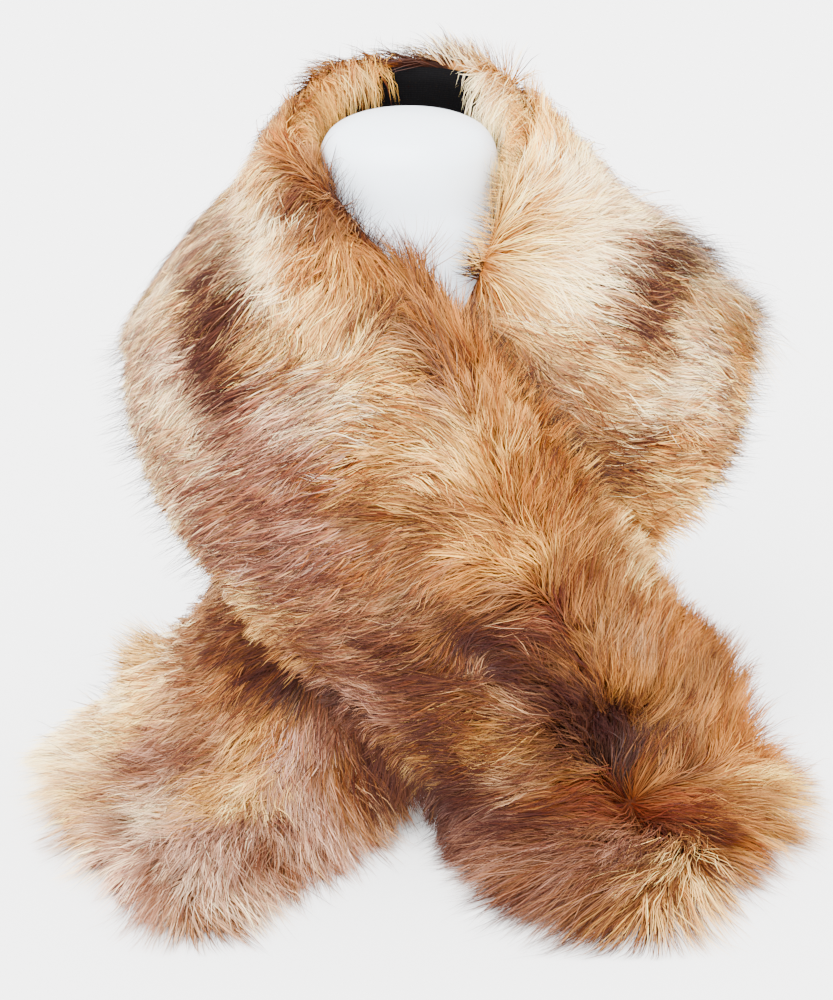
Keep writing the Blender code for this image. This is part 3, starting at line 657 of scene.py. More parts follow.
def strandRoots(skin):
    # where the strands stand on the skin's grid, and which stretch each belongs to
    area = np.linalg.norm(np.cross(skin["alongStep"], skin["acrossStep"]), axis=-1)
    weight = cellMeans(area) * (1 - (1 - pile["hiddenDensity"]) * cellMeans(skin["covered"]))
    turnedUnder = skin["roll"][:-1, :-1] > pile["turnedUnder"]
    weight = weight * np.where(turnedUnder, pile["underDensity"], 1)
    falling = fallIn(skin) * (skin["roll"] > fallLook["from"])
    weight = weight * (1 + fallLook["density"] * falling)[:-1, :-1]
    middle = np.clip(cellMeans(skin["section"]), 0, len(sections) - 1)
    g, h, owner = [], [], []
    for k, (_, first, last, count) in enumerate(stretches):
        share = np.where((middle >= first) & (middle <= last), weight, 0).ravel()
        picked = randomness.choice(len(share), count, p=share / share.sum())
        i, j = np.unravel_index(picked, weight.shape)
        g.append(i + randomness.random(count))
        h.append(j + randomness.random(count))
        owner.append(np.full(count, k))
    return (np.concatenate(x) for x in (g, h, owner))


def scatter(spreads, groups, count, shape=()):
    # random offsets for single strands, added to those that a whole tuft or lock shares
    total = randomness.normal(0, spreads[0], (count, *shape))
    for spread, (centres, member) in zip(spreads[1:], groups):
        total = total + randomness.normal(0, spread, (len(centres), *shape))[member]
    return total


def plantStrands(skin):
    # control points, widths and colours of every strand
    g, h, owner = strandRoots(skin)
    count = len(g)
    section, across = sample(skin["section"], g, h), sample(skin["across"], g, h)
    roll, cap = sample(skin["roll"], g, h), sample(skin["cap"], g, h)
    halfWidth, perRoll, perCap = pile["unrolled"]
    spots = np.stack([lengthAt(section) + cap * perCap,
                      across * halfWidth + np.sign(across) * roll * perRoll], axis=1)

    locks, inLock = gather(spots, pile["lock"])
    tufts, inTuft = gather(spots, pile["tuft"])
    lockLength = randomness.normal(1, pile["lockLength"], len(locks))[inLock]
    tuftLength = randomness.normal(1, pile["tuftLength"], len(tufts))[inTuft]
    length = (pile["strandLength"] * lockLength * tuftLength
              * randomness.normal(1, pile["lengthSpread"], count))
    inner, outer = alongTable(pile["innerEdge"], section), alongTable(pile["outerEdge"], section)
    edgeFrom, edgeBlend = pile["nearEdge"]
    nearEdge = np.clip((np.abs(across) - edgeFrom) / edgeBlend, 0, 1)
    share = pile["topLength"] + (np.where(across < 0, inner, outer) - pile["topLength"]) * nearEdge
    length = np.clip(length, *pile["lengthRange"]) * share
    atEnds = np.where(cap > pile["edgeTurn"], pile["underEndCap"], 1)
    length = length * np.where(cap < -pile["edgeTurn"], pile["overEndCap"], atEnds)
    rise = (sample(skin["pile"], g, h) * np.clip(randomness.normal(*pile["rise"], count), *pile["riseRange"])
            * sample(skin["fullness"], g, h)[:, 0])

    guardLook, darkLook = pile["guard"], pile["darkTipped"]
    guard = randomness.random(count) < pile["guardShare"]
    length = np.where(guard, length * guardLook["length"], length)
    rise = np.where(guard, rise * guardLook["rise"], rise)
    # which strands get dark tips depends on the patch that they reach
    trial = growPaths(skin, g, h, length * darkLook["judgedAt"], rise, np.zeros((count, 3)),
                      np.full(count, pile["droop"]))
    darkShare = sample(skin["tone"], *trial[2])[:, 3] * (1 - darkLook["lessAtEdge"] * nearEdge)
    dark = randomness.random(count) < np.clip(darkShare, 0, darkLook["most"])
    length = np.where(dark, length * darkLook["length"], length)
    rise = np.where(dark, rise * darkLook["rise"], rise)
    spreads = pile["stray"], pile["lockStray"], pile["tuftStray"]
    stray = scatter(spreads, ((locks, inLock), (tufts, inTuft)), count, (3,))
    fall = sample(fallIn(skin), g, h) * (roll > pile["edgeTurn"])
    halfWay = 1 - np.abs(2 * fall - 1)
    length = length * (1 - fallLook["shorter"] * fall) * (1 - fallLook["halfShorter"] * halfWay)
    stray = stray * (1 + fallLook["stray"] * fall)[:, None]
    paths, toneAt, _ = growPaths(skin, g, h, length, rise, stray, pile["droop"] + fallLook["droop"] * fall)
    # tufts wave a little from side to side, and each strand a little in its tuft
    paths[:, 1:3] += (randomness.normal(0, pile["wave"], (len(tufts), 2, 3))[inTuft]
                      + randomness.normal(0, pile["wave"] * pile["strandWave"], (count, 2, 3)))

    # strands lean to the middle strand of their tuft and lock, more towards the tip
    lean, notRoot = np.array(pile["lean"])[None, :, None], np.array([0, 1, 1, 1])[None, :, None]
    mostApart, apartScale = pile["parting"]
    for centres, member, pull in ((tufts, inTuft, pile["tuftPull"]), (locks, inLock, pile["lockPull"])):
        leader = paths[centres][member]
        pulled = np.where(guard, guardLook["pull"], pull) * (1 - fallLook["looser"] * fall)
        amount = lean * pulled[:, None, None]
        amount = amount * randomness.uniform(*pile["leanRange"], (count, 1, 1))
        apart = np.linalg.norm(leader[:, 3] - paths[:, 3], axis=1)
        amount = amount * np.clip(mostApart - apart / apartScale, 0, 1)[:, None, None]
        paths = paths + (leader - paths) * amount * notRoot
    paths = keepOffBust(paths)

    root, third, twoThirds, tip = (paths[:, k] for k in range(4))
    control = np.stack([root, (-5 * root + 18 * third - 9 * twoThirds + 2 * tip) / 6,
                        (2 * root - 9 * third + 18 * twoThirds - 5 * tip) / 6, tip], axis=1)
    holdIn(keepAbove(pile["curveOffFloor"], control))
    normal = unit(sample(skin["normal"], g, h))
    side = unit(np.cross(tip - root, normal) + randomness.normal(0, pile["twist"], (count, 3)))
    thickness = np.where(guard, guardLook["width"], np.where(dark, darkLook["width"], 1))
    width = pile["strandWidth"] * randomness.uniform(*pile["widthRange"], count) * thickness
    colour = strandColours(skin, toneAt, (locks, inLock), (tufts, inTuft))
    darkTip = dark * randomness.uniform(*darkLook["depth"], count)
    darkTip = np.where(guard & (randomness.random(count) < guardLook["darkShare"]), 1, darkTip)
    return {"owner": owner, "control": control, "side": side, "width": width,
            "colour": colour, "darkTip": darkTip}


strandColour = {
    # how far away, in rows and in columns of the skin, a tuft and a strand may take their tone
    "wander": ((1.5, 1.2), (.8, .6)),
    "shade": (.20, .36, .30),       # spread of the brightness of a strand, a tuft and a lock
    "shadeShift": .25,
    "shadeRange": (-.85, .75),
    "warmth": (.10, .08),           # spread of the warmth of a strand and a tuft
    "warmthTint": (.0, .5, 1.0),
    "paleFrom": (.08, .18),         # share of blue in a tone that counts as pale, and the blend
    "darker": (.55, 1.25, 1.60),    # how strongly shade takes red, green and blue away
    "darkerPale": (.20, -.13, -.50),    # and what a pale tone changes in this
    "lighter": (.90, 1.05, 1.25),
    "least": .006,
    "most": (.93, .74, .42),
}


def strandColours(skin, toneAt, locks, tufts):
    look, (tuftCentres, inTuft), count = strandColour, tufts, len(tufts[1])
    g, h = (place + randomness.normal(0, byTuft, len(tuftCentres))[inTuft]
            + randomness.normal(0, alone, count)
            for place, (byTuft, alone) in zip(toneAt, look["wander"]))
    colour = sample(skin["tone"], g, h)[:, :3]
    shade = scatter(look["shade"], (tufts, locks), count)
    shade = np.clip(shade + look["shadeShift"], *look["shadeRange"])
    warmth = scatter(look["warmth"], (tufts,), count)
    # darker locks are redder, but less so in the pale and pinkish tones, and lighter ones paler
    paleFrom, paleBlend = look["paleFrom"]
    pale = np.clip((colour[:, 2] / colour[:, 0] - paleFrom) / paleBlend, 0, 1)
    darker = np.array(look["darker"]) + np.outer(pale, look["darkerPale"])
    strength = np.where(shade[:, None] < 0, darker, look["lighter"])
    colour = colour * np.exp(shade[:, None] * strength) * np.exp(np.outer(warmth, look["warmthTint"]))
    return np.clip(colour, look["least"], look["most"])


# Hairs that stand out along an edge: first and last section, edge, how many, the way they point
# as the nap's angles are read, how far that varies, length, tone and width
whiskers = [
    (5.8, 7.4, "inner", 330, 80, 24, .021, "soot", .00034),
    (4.1, 5.8, "inner", 420, 62, 12, .030, "soot", .00034),
    (11.6, 13.6, "inner", 130, 140, 30, .022, "soot", .00034),
    (4.6, 8.2, "outer", 520, 208, 10, .030, "soot", .00034),
    (12.0, 14.4, "outer", 420, 357, 9, .032, "soot", .00034),
    (12.0, 12.6, "outer", 160, 12, 10, .036, "soot", .00040),
    (17.0, 17.8, "outer", 130, 276, 14, .030, "soot", .00034),
    (18.0, 20.0, "outer", 90, 285, 16, .030, "soot", .00034),
    (18.0, 19.4, "inner", 70, 160, 18, .028, "soot", .00034),
    (0.2, 2.2, "outer", 150, 215, 16, .032, "soot", .00034),
    (8.2, 11.8, "inner", 120, 100, 30, .020, "soot", .00034),
    (11.85, 12.3, "outer", 800, 14, 8, .036, "umber", .0006),   # dark tuft of the right shoulder
    (2.6, 3.0, "outer", 260, 262, 9, .028, "umber", .0006),
    (11.80, 12.1, "outer", 240, 40, 10, .032, "sand", .0006),
    (11.2, 11.8, "outer", 330, 25, 16, .026, "cream", .0006),
    (12.9, 13.5, "inner", 150, 165, 22, .020, "sand", .0006),   # bottom of the neck opening
    (13.35, 13.6, "inner", 70, 175, 26, .018, "umber", .0005),
    (12.2, 12.9, "inner", 150, 185, 18, .020, "sand", .0006),
    (18.0, 18.6, "inner", 420, 158, 18, .036, "sand", .0006),   # left tuft of the lower end
    (9.4, 9.9, "outer", 200, 95, 25, .016, "cream", .0006),
]
whiskerLook = {
    "round": (.5, 3.5),     # steps of the rolled edge that they stand on
    "standOff": {"inner": .35, "outer": .12},
    "stray": .12,
    "lengthRange": (.55, 1.1),
    "bend": .0022,
    "bendAt": (.4, 1, .6),  # how much of it shows at one third, two thirds and the tip
    "shade": .25,
    "palest": .9,
    "darkShare": .25,
}


def plantWhiskers(skin):
    # straight loose hairs, in the same form as the strands
    made, firstColumn = [], skin["section"][:, 0]
    for first, last, edge, count, angle, spread, length, tone, width in whiskers:
        g = np.interp(randomness.uniform(first, last, count), firstColumn, np.arange(len(firstColumn)))
        turned = randomness.uniform(*whiskerLook["round"], count)
        h = skin["firstTop"] - turned if edge == "inner" else skin["lastTop"] + turned
        pointing = seenWay(randomness.normal(angle, spread, count))
        normal = unit(sample(skin["normal"], g, h))
        heading = unit(pointing + normal * whiskerLook["standOff"][edge]
                       + randomness.normal(0, whiskerLook["stray"], (count, 3)))
        root = sample(skin["points"], g, h)
        way = heading * (length * randomness.uniform(*whiskerLook["lengthRange"], count)[:, None])
        bend = randomness.normal(0, whiskerLook["bend"], (count, 3))
        atThird, atTwoThirds, atTip = whiskerLook["bendAt"]
        path = keepOffBust(np.stack([root, root + way / 3 + bend * atThird,
                                     root + way * 2 / 3 + bend * atTwoThirds,
                                     root + way + bend * atTip], axis=1))
        holdIn(path)
        section = sample(skin["section"], g, h)
        owner = np.zeros(count, int)
        for k, (_, start, end, _) in enumerate(stretches):
            owner[(section >= start) & (section <= end)] = k
        shade = np.exp(randomness.normal(0, whiskerLook["shade"], (count, 1)))
        colour = np.clip(np.array(tones[tone]) * shade, strandColour["least"], whiskerLook["palest"])
        made.append({"owner": owner, "control": path, "side": unit(np.cross(heading, normal) + .001),
                     "width": np.full(count, width), "colour": colour,
                     "darkTip": (randomness.random(count) < whiskerLook["darkShare"]) * 1.0})
    return {key: np.concatenate([m[key] for m in made]) for key in made[0]}


def newObject(name, data):
    made = bpy.data.objects.new(name, data)
    bpy.context.scene.collection.objects.link(made)
    return made


def addAttribute(mesh, name, kind, values):
    field = {"FLOAT": "value", "INT": "value", "FLOAT_VECTOR": "vector", "FLOAT_COLOR": "color"}[kind]
    attribute = mesh.attributes.new(name, kind, "POINT")
    plain = np.asarray(values).astype(np.int32 if kind == "INT" else np.float32)
    attribute.data.foreach_set(field, plain.ravel())


def withAlpha(colours):
    return np.column_stack([colours, np.ones(len(colours))])


def bladeMesh(segments):
    # one strand to repeat: a strip with a single point at its tip, and its own places t and s
    vertices, faces, t, s = [], [], [], []
    for k in range(segments):
        for edge in (-.5, .5):
            vertices.append((edge, k / segments, 0))
            t.append((k / segments) ** pile["placePower"])
            s.append(edge)
    vertices.append((0, 1, 0))
    t.append(1)
    s.append(0)
    for k in range(segments - 1):
        faces.append((2 * k, 2 * k + 1, 2 * k + 3, 2 * k + 2))
    faces.append((2 * segments - 2, 2 * segments - 1, 2 * segments))
    mesh = bpy.data.meshes.new("strandShape")
    mesh.from_pydata(vertices, [], faces)
    addAttribute(mesh, "strandPlace", "FLOAT", t)
    addAttribute(mesh, "strandEdge", "FLOAT", s)
    mesh.shade_smooth()
    return newObject("strandShape", mesh)


def pileTree(material):
    # instances the strand on every root, then bends each along its own four control points
    tree = bpy.data.node_groups.new("pileStrands", "GeometryNodeTree")
    tree.is_modifier = True
    for name, kind, value in (("Geometry", "Geometry", None), ("Strand Shape", "Object", None),
                              ("Width Factor", "Float", 1), ("Taper Power", "Float", 2),
                              ("Map Columns", "Int", 170)):
        socket = tree.interface.new_socket(name, in_out="INPUT", socket_type="NodeSocket" + kind)
        if value is not None:
            socket.default_value = value
    tree.interface.new_socket("Geometry", in_out="OUTPUT", socket_type="NodeSocketGeometry")
    nodes, links = tree.nodes, tree.links

    def node(kind, **settings):
        made = nodes.new(kind)
        for key, value in settings.items():
            setattr(made, key, value)
        return made

    def calculated(operation, *values):
        made = node("ShaderNodeMath", operation=operation)
        for k, value in enumerate(values):
            if isinstance(value, (int, float)):
                made.inputs[k].default_value = value
            else:
                links.new(value, made.inputs[k])
        return made.outputs[0]

    def product(first, *others):
        for other in others:
            first = calculated("MULTIPLY", first, other)
        return first

    def named(name, kind):
        made = node("GeometryNodeInputNamedAttribute", data_type=kind)
        made.inputs["Name"].default_value = name
        return made.outputs["Attribute"]

    def scaled(vector, factor):
        made = node("ShaderNodeVectorMath", operation="SCALE")
        links.new(vector, made.inputs[0])
        links.new(factor, made.inputs["Scale"])
        return made.outputs[0]

    def summed(a, b):
        made = node("ShaderNodeVectorMath", operation="ADD")
        links.new(a, made.inputs[0])
        links.new(b, made.inputs[1])
        return made.outputs[0]

    groupIn, groupOut = node("NodeGroupInput"), node("NodeGroupOutput")
    shapeInfo = node("GeometryNodeObjectInfo")
    links.new(groupIn.outputs["Strand Shape"], shapeInfo.inputs["Object"])
    onPoints = node("GeometryNodeInstanceOnPoints")
    links.new(groupIn.outputs["Geometry"], onPoints.inputs["Points"])
    links.new(shapeInfo.outputs["Geometry"], onPoints.inputs["Instance"])
    realize = node("GeometryNodeRealizeInstances")
    links.new(onPoints.outputs["Instances"], realize.inputs["Geometry"])

    t, edge = named("strandPlace", "FLOAT"), named("strandEdge", "FLOAT")
    rest = calculated("SUBTRACT", 1, t)
    shares = [
        calculated("POWER", rest, 3),
        product(calculated("POWER", rest, 2), t, 3),
        product(calculated("POWER", t, 2), rest, 3),
        calculated("POWER", t, 3),
    ]
    place = None
    for k, share in enumerate(shares):
        part = scaled(named(f"control{k}", "FLOAT_VECTOR"), share)
        place = part if place is None else summed(place, part)
    taper = calculated("SUBTRACT", 1, calculated("POWER", t, groupIn.outputs["Taper Power"]))
    breadth = product(named("strandWidth", "FLOAT"), taper, groupIn.outputs["Width Factor"], edge)
    setPlace = node("GeometryNodeSetPosition")
    links.new(realize.outputs["Geometry"], setPlace.inputs["Geometry"])
    aside = scaled(named("strandSide", "FLOAT_VECTOR"), breadth)
    links.new(summed(place, aside), setPlace.inputs["Position"])

    # each strand fills most of its own cell in the map that the colours are kept in: its size there
    # and where it starts, across and along
    acrossFill, alongFill = (.7, .5), (.8, .1)
    columns, number = groupIn.outputs["Map Columns"], named("strandNumber", "INT")
    inCell = (calculated("MULTIPLY_ADD", edge, *acrossFill), calculated("MULTIPLY_ADD", t, *alongFill))
    cell = (calculated("FLOORED_MODULO", number, columns),
            calculated("FLOOR", calculated("DIVIDE", number, columns)))
    both = node("ShaderNodeCombineXYZ")
    for k in range(2):
        links.new(calculated("DIVIDE", calculated("ADD", cell[k], inCell[k]), columns), both.inputs[k])
    storeMap = node("GeometryNodeStoreNamedAttribute", data_type="FLOAT2", domain="CORNER")
    storeMap.inputs["Name"].default_value = "OFBake"
    links.new(setPlace.outputs["Geometry"], storeMap.inputs["Geometry"])
    links.new(both.outputs[0], storeMap.inputs["Value"])
    setMaterial = node("GeometryNodeSetMaterial")
    setMaterial.inputs["Material"].default_value = material
    links.new(storeMap.outputs["Geometry"], setMaterial.inputs["Geometry"])
    links.new(setMaterial.outputs["Geometry"], groupOut.inputs["Geometry"])
    return tree


def linkedMaterial(name):
    material = bpy.data.materials.new(name)
    material.use_nodes = True
    tree = material.node_tree
    return material, tree.nodes, tree.links, tree.nodes["Principled BSDF"]


def setInputs(node, values):
    for name, value in values.items():
        node.inputs[name].default_value = value


def attributeNode(nodes, name):
    made = nodes.new("ShaderNodeAttribute")
    made.attribute_name = name
    return made


def rampNode(nodes, links, factor, stops):
    made = nodes.new("ShaderNodeValToRGB")
    ramp = made.color_ramp
    while len(ramp.elements) < len(stops):
        ramp.elements.new(.5)
    for element, (place, value) in zip(ramp.elements, stops):
        element.position = place
        element.color = (*value, 1) if isinstance(value, tuple) else (value, value, value, 1)
    links.new(factor, made.inputs["Fac"])
    return made.outputs["Color"]


def mixNode(nodes, links, blend, factor, a, b):
    made = nodes.new("ShaderNodeMix")
    made.data_type = "RGBA"
    made.blend_type = blend
    for socket, value in ((made.inputs["Factor"], factor), (made.inputs[6], a), (made.inputs[7], b)):
        if isinstance(value, (int, float, tuple)):
            socket.default_value = value
        else:
            links.new(value, socket)
    return made.outputs[2]


def noiseNode(nodes, links, scale, detail):
    # noise in the object's own space
    where, noise = nodes.new("ShaderNodeTexCoord"), nodes.new("ShaderNodeTexNoise")
    setInputs(noise, {"Scale": scale, "Detail": detail})
    links.new(where.outputs["Object"], noise.inputs["Vector"])
    return noise.outputs["Fac"]


def roughenSurface(nodes, links, shader, height, strength, distance):
    bump = nodes.new("ShaderNodeBump")
    setInputs(bump, {"Strength": strength, "Distance": distance})
    links.new(height, bump.inputs["Height"])
    links.new(bump.outputs["Normal"], shader.inputs["Normal"])


strandLook = {
    # root to tip: the dark warm root is painted shade of the pile's depth, the paler end partly painted
    # highlight
    "paintedShadeAndHighlight": [(.0, (.50, .27, .15)), (.38, (1.0, 1.0, 1.0)), (.85, (1.30, 1.38, 1.46))],   # root to tip
    # a dark tip goes through a red brown first: start, full, blend and colour
    "darkTip": [(.33, .50, "MULTIPLY", (.52, .28, .26, 1)), (.46, .66, "MIX", (.028, .0085, .0085, 1))],
    "finish": {"Roughness": .5, "Specular IOR Level": .06, "Specular Tint": (1.0, .74, .46, 1)},
}


def strandMaterial():
    # deep warm root that is painted shade deep in the pile, main tone, paler end that is partly the fur's
    # own and partly painted highlight, and on some strands a dark tip
    material, nodes, links, shader = linkedMaterial("pileStrand")
    place = attributeNode(nodes, "strandPlace").outputs["Fac"]
    tone = attributeNode(nodes, "strandTone").outputs["Color"]
    dark = attributeNode(nodes, "strandDark").outputs["Fac"]
    along = rampNode(nodes, links, place, strandLook["paintedShadeAndHighlight"])
    colour = mixNode(nodes, links, "MULTIPLY", 1.0, tone, along)
    for first, last, blend, tint in strandLook["darkTip"]:
        amount = nodes.new("ShaderNodeMath")
        amount.operation = "MULTIPLY"
        links.new(rampNode(nodes, links, place, [(first, 0.), (last, 1.)]), amount.inputs[0])
        links.new(dark, amount.inputs[1])
        colour = mixNode(nodes, links, blend, amount.outputs[0], colour, tint)
    links.new(colour, shader.inputs["Base Color"])
    setInputs(shader, strandLook["finish"])
    return material


groundLook = {
    "grain": (900, 4),      # scale and detail
    # how far the under-fur's tone is taken down: painted shade of the gaps between the strands, uneven with
    # the grain
    "stops": [(.3, (.22, .12, .07)), (.7, (.55, .34, .20))],
    "bump": (.6, .001),
    "finish": {"Roughness": .9, "Specular IOR Level": .1},
}


def groundMaterial():
    # the dense short under-fur between the strands, its tone darkened as painted shade of the deep gaps,
    # with a fine uneven grain
    material, nodes, links, shader = linkedMaterial("pileGround")
    tone = attributeNode(nodes, "groundTone").outputs["Color"]
    noise = noiseNode(nodes, links, *groundLook["grain"])
    grain = rampNode(nodes, links, noise, groundLook["stops"])
    links.new(mixNode(nodes, links, "MULTIPLY", 1.0, tone, grain), shader.inputs["Base Color"])
    roughenSurface(nodes, links, shader, noise, *groundLook["bump"])
    setInputs(shader, groundLook["finish"])
    return material


def finishPiece(piece, node):
    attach(piece, "root")
    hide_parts(node)


def meshPiece(name, points, faces, material):
    mesh = bpy.data.meshes.new(name)
    mesh.from_pydata([tuple(p) for p in points], [], faces)
    mesh.shade_smooth()
    mesh.materials.append(material)
    return newObject(name, mesh)


def tubeFaces(rings, sides, turned=False):
    # quads round a tube of rings, and a cap at each end; turned ones face the other way
    quads = []
    for i in range(rings - 1):
        here, ahead = i * sides, (i + 1) * sides
        for k in range(sides):
            n = (k + 1) % sides
            quads.append((here + k, ahead + k, ahead + n, here + n))
    first, last = tuple(range(sides)), tuple((rings - 1) * sides + k for k in range(sides))
    if turned:
        return [(a, d, c, b) for a, b, c, d in quads] + [first[::-1], last]
    return quads + [first, last[::-1]]


def makeGround(skin, material):
    # the skin as one closed cushion for each stretch
    topColumns, underColumns = skin["section"].shape[1], skin["under"].shape[1]
    place = np.clip(skin["section"][:, 0], 0, len(sections) - 1)
    made = {}
    for name, first, last, _ in stretches:
        inside = np.where((place >= first - 1e-6) & (place <= last + 1e-6))[0]
        if first > 0:
            inside = np.concatenate([[inside[0] - 1], inside])
        points = np.concatenate([skin["points"][inside], skin["under"][inside]], axis=1).reshape(-1, 3)
        faces = tubeFaces(len(inside), topColumns + underColumns)
        made[name] = meshPiece("ground_" + name, points, faces, material)
        tone = skin["tone"][inside]
        tone = np.concatenate([tone, np.repeat(tone[:, -1:], underColumns, axis=1)], axis=1)
        addAttribute(made[name].data, "groundTone", "FLOAT_COLOR", withAlpha(tone.reshape(-1, 4)[:, :3]))
    return made


def makePile(strands, material):
    # the strands of each stretch, grown by the node tree and turned into a plain mesh
    shape = bladeMesh(pile["strandSegments"])
    tree = pileTree(material)
    inputs = {item.name: item.identifier for item in tree.interface.items_tree if item.in_out == "INPUT"}
    made = {}
    for k, (name, *_) in enumerate(stretches):
        mine = strands["owner"] == k
        count, control = int(mine.sum()), strands["control"][mine]
        mesh = bpy.data.meshes.new("roots_" + name)
        mesh.from_pydata([tuple(p) for p in control[:, 0]], [], [])
        helpers = [(f"control{i}", "FLOAT_VECTOR", control[:, i]) for i in range(4)]
        helpers += [("strandSide", "FLOAT_VECTOR", strands["side"][mine]),
                    ("strandWidth", "FLOAT", strands["width"][mine]),
                    ("strandNumber", "INT", np.arange(count))]
        looks = [("strandTone", "FLOAT_COLOR", withAlpha(strands["colour"][mine])),
                 ("strandDark", "FLOAT", strands["darkTip"][mine])]
        for layer in helpers + looks:
            addAttribute(mesh, *layer)
        roots = newObject("roots_" + name, mesh)
        modifier = roots.modifiers.new("pile", "NODES")
        modifier.node_group = tree
        modifier[inputs["Strand Shape"]] = shape
        modifier[inputs["Width Factor"]] = 1.0
        modifier[inputs["Taper Power"]] = pile["taperPower"]
        modifier[inputs["Map Columns"]] = math.ceil(math.sqrt(count))
        evaluated = roots.evaluated_get(bpy.context.evaluated_depsgraph_get())
        plain = bpy.data.meshes.new_from_object(evaluated)
        plain.name = "pile_" + name
        for spare in [layer[0] for layer in helpers] + ["strandEdge"]:
            if spare in plain.attributes:
                plain.attributes.remove(plain.attributes[spare])
        made[name] = newObject("pile_" + name, plain)
        bpy.data.objects.remove(roots)
        print("pile", name, len(plain.polygons), "faces")
    bpy.data.objects.remove(shape)
    return made


backing = {
    "thickness": .0012,
    "gap": .0001,           # its height above the solid's underside
    "step": .012,
    "columns": 16,
    "width": .18,
    "weave": {"Scale": 320, "Distortion": .6},
    "threads": [(.0, (.0012, .0011, .0013)), (1., (.0042, .0038, .0044))],
    "bump": (.35, .0004),
    "finish": {"Roughness": .85, "Specular IOR Level": .06},
}


def backingMaterial():
    # close black woven cloth: fine crossing threads with a faint broken sheen
    material, nodes, links, shader = linkedMaterial("blackBacking")
    where = nodes.new("ShaderNodeUVMap")
    where.uv_map = "OFBake"
    waves = []
    for direction in ("X", "Y"):
        wave = nodes.new("ShaderNodeTexWave")
        wave.bands_direction = direction
        setInputs(wave, backing["weave"])
        links.new(where.outputs["UV"], wave.inputs["Vector"])
        waves.append(wave.outputs["Color"])
    weave = mixNode(nodes, links, "MULTIPLY", 1.0, *waves)
    links.new(rampNode(nodes, links, weave, backing["threads"]), shader.inputs["Base Color"])
    roughenSurface(nodes, links, shader, weave, *backing["bump"])
    setInputs(shader, backing["finish"])
    return material


def makeBacking(material):
    # the black cloth under each stretch, as a thin closed shell in the solid's own place
    made, columns = {}, backing["columns"] + 1
    for name, first, last, _ in stretches:
        start, end = lengthAt(first), lengthAt(last)
        rows = max(3, round((end - start) / backing["step"])) + 1
        a = np.repeat(np.linspace(start, end, rows), columns)
        c = np.tile(np.linspace(-1, 1, columns), rows)
        out = backingAxes(a, c)[2]
        low = backingPoint(a, c) + out * backing["gap"]
        points = np.vstack([low + out * backing["thickness"], low])
        n, faces = rows * columns, []
        for i in range(rows - 1):
            here, ahead = i * columns, (i + 1) * columns
            for j in range(columns - 1):
                p, q = here + j, ahead + j
                faces.append((p, q, q + 1, p + 1))
                faces.append((n + p + 1, n + q + 1, n + q, n + p))
            faces.append((here, n + here, n + ahead, ahead))
            p, q = here + columns - 1, ahead + columns - 1
            faces.append((q, n + q, n + p, p))
        for p in range(columns - 1):
            q = (rows - 1) * columns + p
            faces.append((p, p + 1, n + p + 1, n + p))
            faces.append((q + 1, q, n + q, n + q + 1))
        piece = meshPiece("backing_" + name, points, faces, material)
        # the upper face lies flat in the map in its own size, and the lower one beside it
        margin, beside = .02, .3
        spread = np.stack([(a - start) / bandLength + margin,
                           (c + 1) * .5 * backing["width"] / bandLength + margin], axis=1)
        spread = np.vstack([spread, spread + np.array([0, beside])])
        corner = np.zeros(len(piece.data.loops), np.int32)
        piece.data.loops.foreach_get("vertex_index", corner)
        cloth = piece.data.uv_layers.new(name="OFBake")
        cloth.data.foreach_set("uv", spread[corner].astype(np.float32).ravel())
        made[name] = (piece, end - start)
    return made


# Smooth limbless bust: height, half width and half depth of its rings
bustRings = np.array([
    (.000, .108, .074), (.004, .111, .077), (.012, .112, .078), (.050, .110, .077), (.100, .108, .075),
    (.150, .112, .077), (.190, .121, .080), (.230, .134, .084), (.265, .145, .084), (.288, .151, .081),
    (.306, .149, .077), (.322, .137, .072), (.334, .120, .067), (.344, .101, .063), (.353, .083, .060),
    (.363, .069, .058), (.375, .0585, .0550), (.395, .0560, .0540), (.406, .0535, .0520),
    (.415, .0470, .0460), (.421, .0350, .0345), (.424, .0200, .0200), (.425, .0005, .0005),
])
bustLook = {
    "sides": 96,
    "ringsPerRow": 4,
    "colour": (.82, .90, .985),
    "shadeDown": .97,       # the darkest place of the colour, as a share of it
    "cloud": (26, 3),       # scale and detail of the colour's unevenness, and of the surface's
    "fine": (420, 2),
    "bump": (.05, .0006),
    "finish": {"Roughness": .34, "Coat Weight": .15, "Coat Roughness": .25},
}


def makeBust(material):
    stops = (len(bustRings) - 1) * bustLook["ringsPerRow"] + 1
    rings, sides = smoothThrough(bustRings, np.linspace(0, len(bustRings) - 1, stops)), bustLook["sides"]
    turn = np.linspace(0, 2 * math.pi, sides, endpoint=False)
    points = [(w * math.cos(t), d * math.sin(t), max(z, 0)) for z, w, d in rings for t in turn]
    return meshPiece("bust_shell", points, tubeFaces(len(rings), sides, turned=True), material)


def bustMaterial():
    # satin white moulded shell with a barely uneven surface
    material, nodes, links, shader = linkedMaterial("satinWhite")
    base = bustLook["colour"]
    stops = [(.3, tuple(bustLook["shadeDown"] * x for x in base)), (.7, base)]
    colour = rampNode(nodes, links, noiseNode(nodes, links, *bustLook["cloud"]), stops)
    links.new(colour, shader.inputs["Base Color"])
    roughenSurface(nodes, links, shader, noiseNode(nodes, links, *bustLook["fine"]), *bustLook["bump"])
    setInputs(shader, bustLook["finish"])
    return material


studio = {
    "aim": (.005, -.085, .2005),
    "distance": 1.15,
    "angle": 30.5,          # of the view, top to bottom
    "clip": (.01, 200),
    "world": 4.4,
    "sky": 6.5, "skyTurn": (38, 0, -28), "skySpread": 60,   # one wide soft light from the upper left
    "floorHalf": 60,
    "floorHeight": -.0005,
    "floorFinish": {"Base Color": (.92, .92, .92, 1), "Roughness": .9, "Specular IOR Level": .1},
}


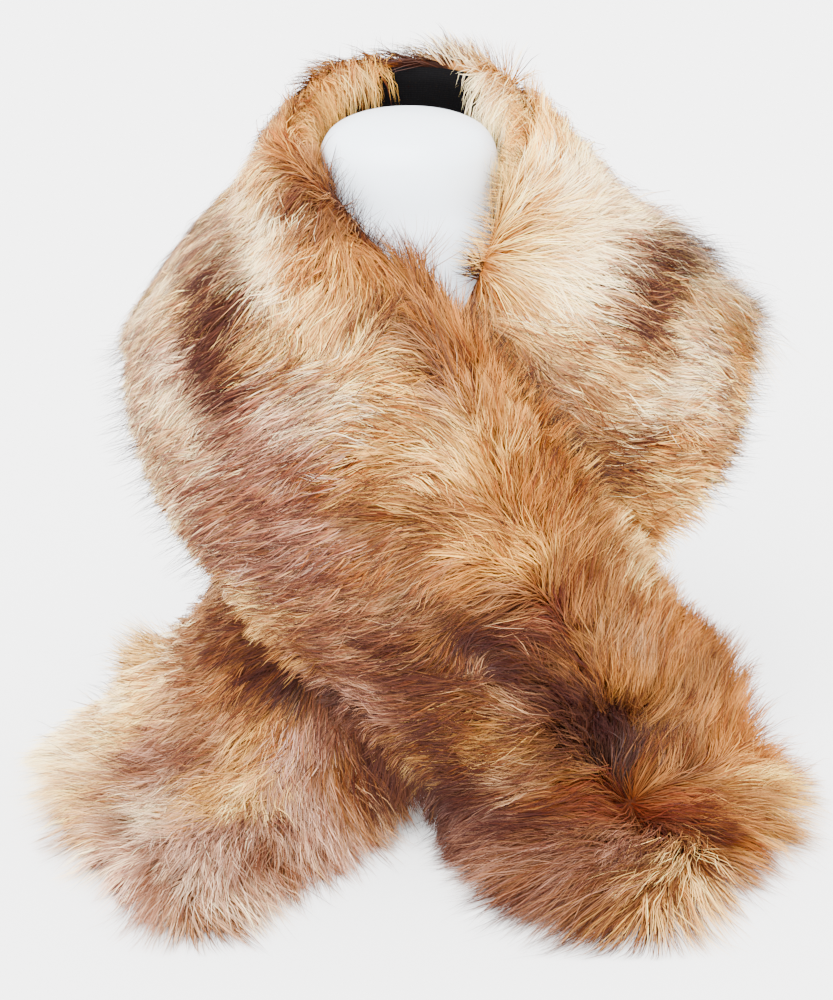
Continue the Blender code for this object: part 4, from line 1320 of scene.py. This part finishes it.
def makeStudio():
    camera = bpy.data.cameras.new("view")
    holder = newObject("view", camera)
    back = Vector((0, -math.cos(viewTilt), math.sin(viewTilt)))
    holder.location = Vector(studio["aim"]) + back * studio["distance"]
    holder.rotation_euler = (-back).to_track_quat("-Z", "Y").to_euler()
    camera.sensor_fit = "VERTICAL"
    camera.angle = math.radians(studio["angle"])
    camera.clip_start, camera.clip_end = studio["clip"]
    bpy.context.scene.camera = holder
    light = bpy.data.lights.new("softLight", "SUN")
    light.energy, light.angle = studio["sky"], math.radians(studio["skySpread"])
    newObject("softLight", light).rotation_euler = [math.radians(x) for x in studio["skyTurn"]]
    world = bpy.data.worlds.new("studio")
    world.use_nodes = True
    setInputs(world.node_tree.nodes["Background"], {"Color": (1, 1, 1, 1), "Strength": studio["world"]})
    bpy.context.scene.world = world
    material, *_, shader = linkedMaterial("paleFloor")
    setInputs(shader, studio["floorFinish"])
    half, z = studio["floorHalf"], studio["floorHeight"]
    corners = [(-half, -half, z), (half, -half, z), (half, half, z), (-half, half, z)]
    meshPiece("floor", corners, [(0, 1, 2, 3)], material)


makeStudio()
print("studio ready")
skin = makeSkin()
skin["nap"] = napField(skin)
skin["tone"] = toneField(skin)
skin["covered"] = coveredField(skin)
skin["fullness"] = nearPlaces(skin, fullness, np.array([[p[2]] for p in fullness]), blending["fullness"])
print("skin", skin["section"].shape, "covered share", round(float(skin["covered"].mean()), 3))
strands, edgeHairs = plantStrands(skin), plantWhiskers(skin)
strands = {key: np.concatenate([strands[key], edgeHairs[key]]) for key in strands}
print("strands", len(strands["owner"]))
ground = makeGround(skin, groundMaterial())
print("under-fur", len(ground), "pieces")
strandPieces = makePile(strands, strandMaterial())
cloths = makeBacking(backingMaterial())
print("backing", len(cloths), "pieces")
finishPiece(makeBust(bustMaterial()), "bust_form")
print("bust ready")
for name, *_ in stretches:
    finishPiece(ground[name], "fur_" + name)
    finishPiece(strandPieces[name], "fur_" + name)
    cloth, length = cloths[name]
    finishPiece(cloth, "lining_" + name)
print("pieces finished")
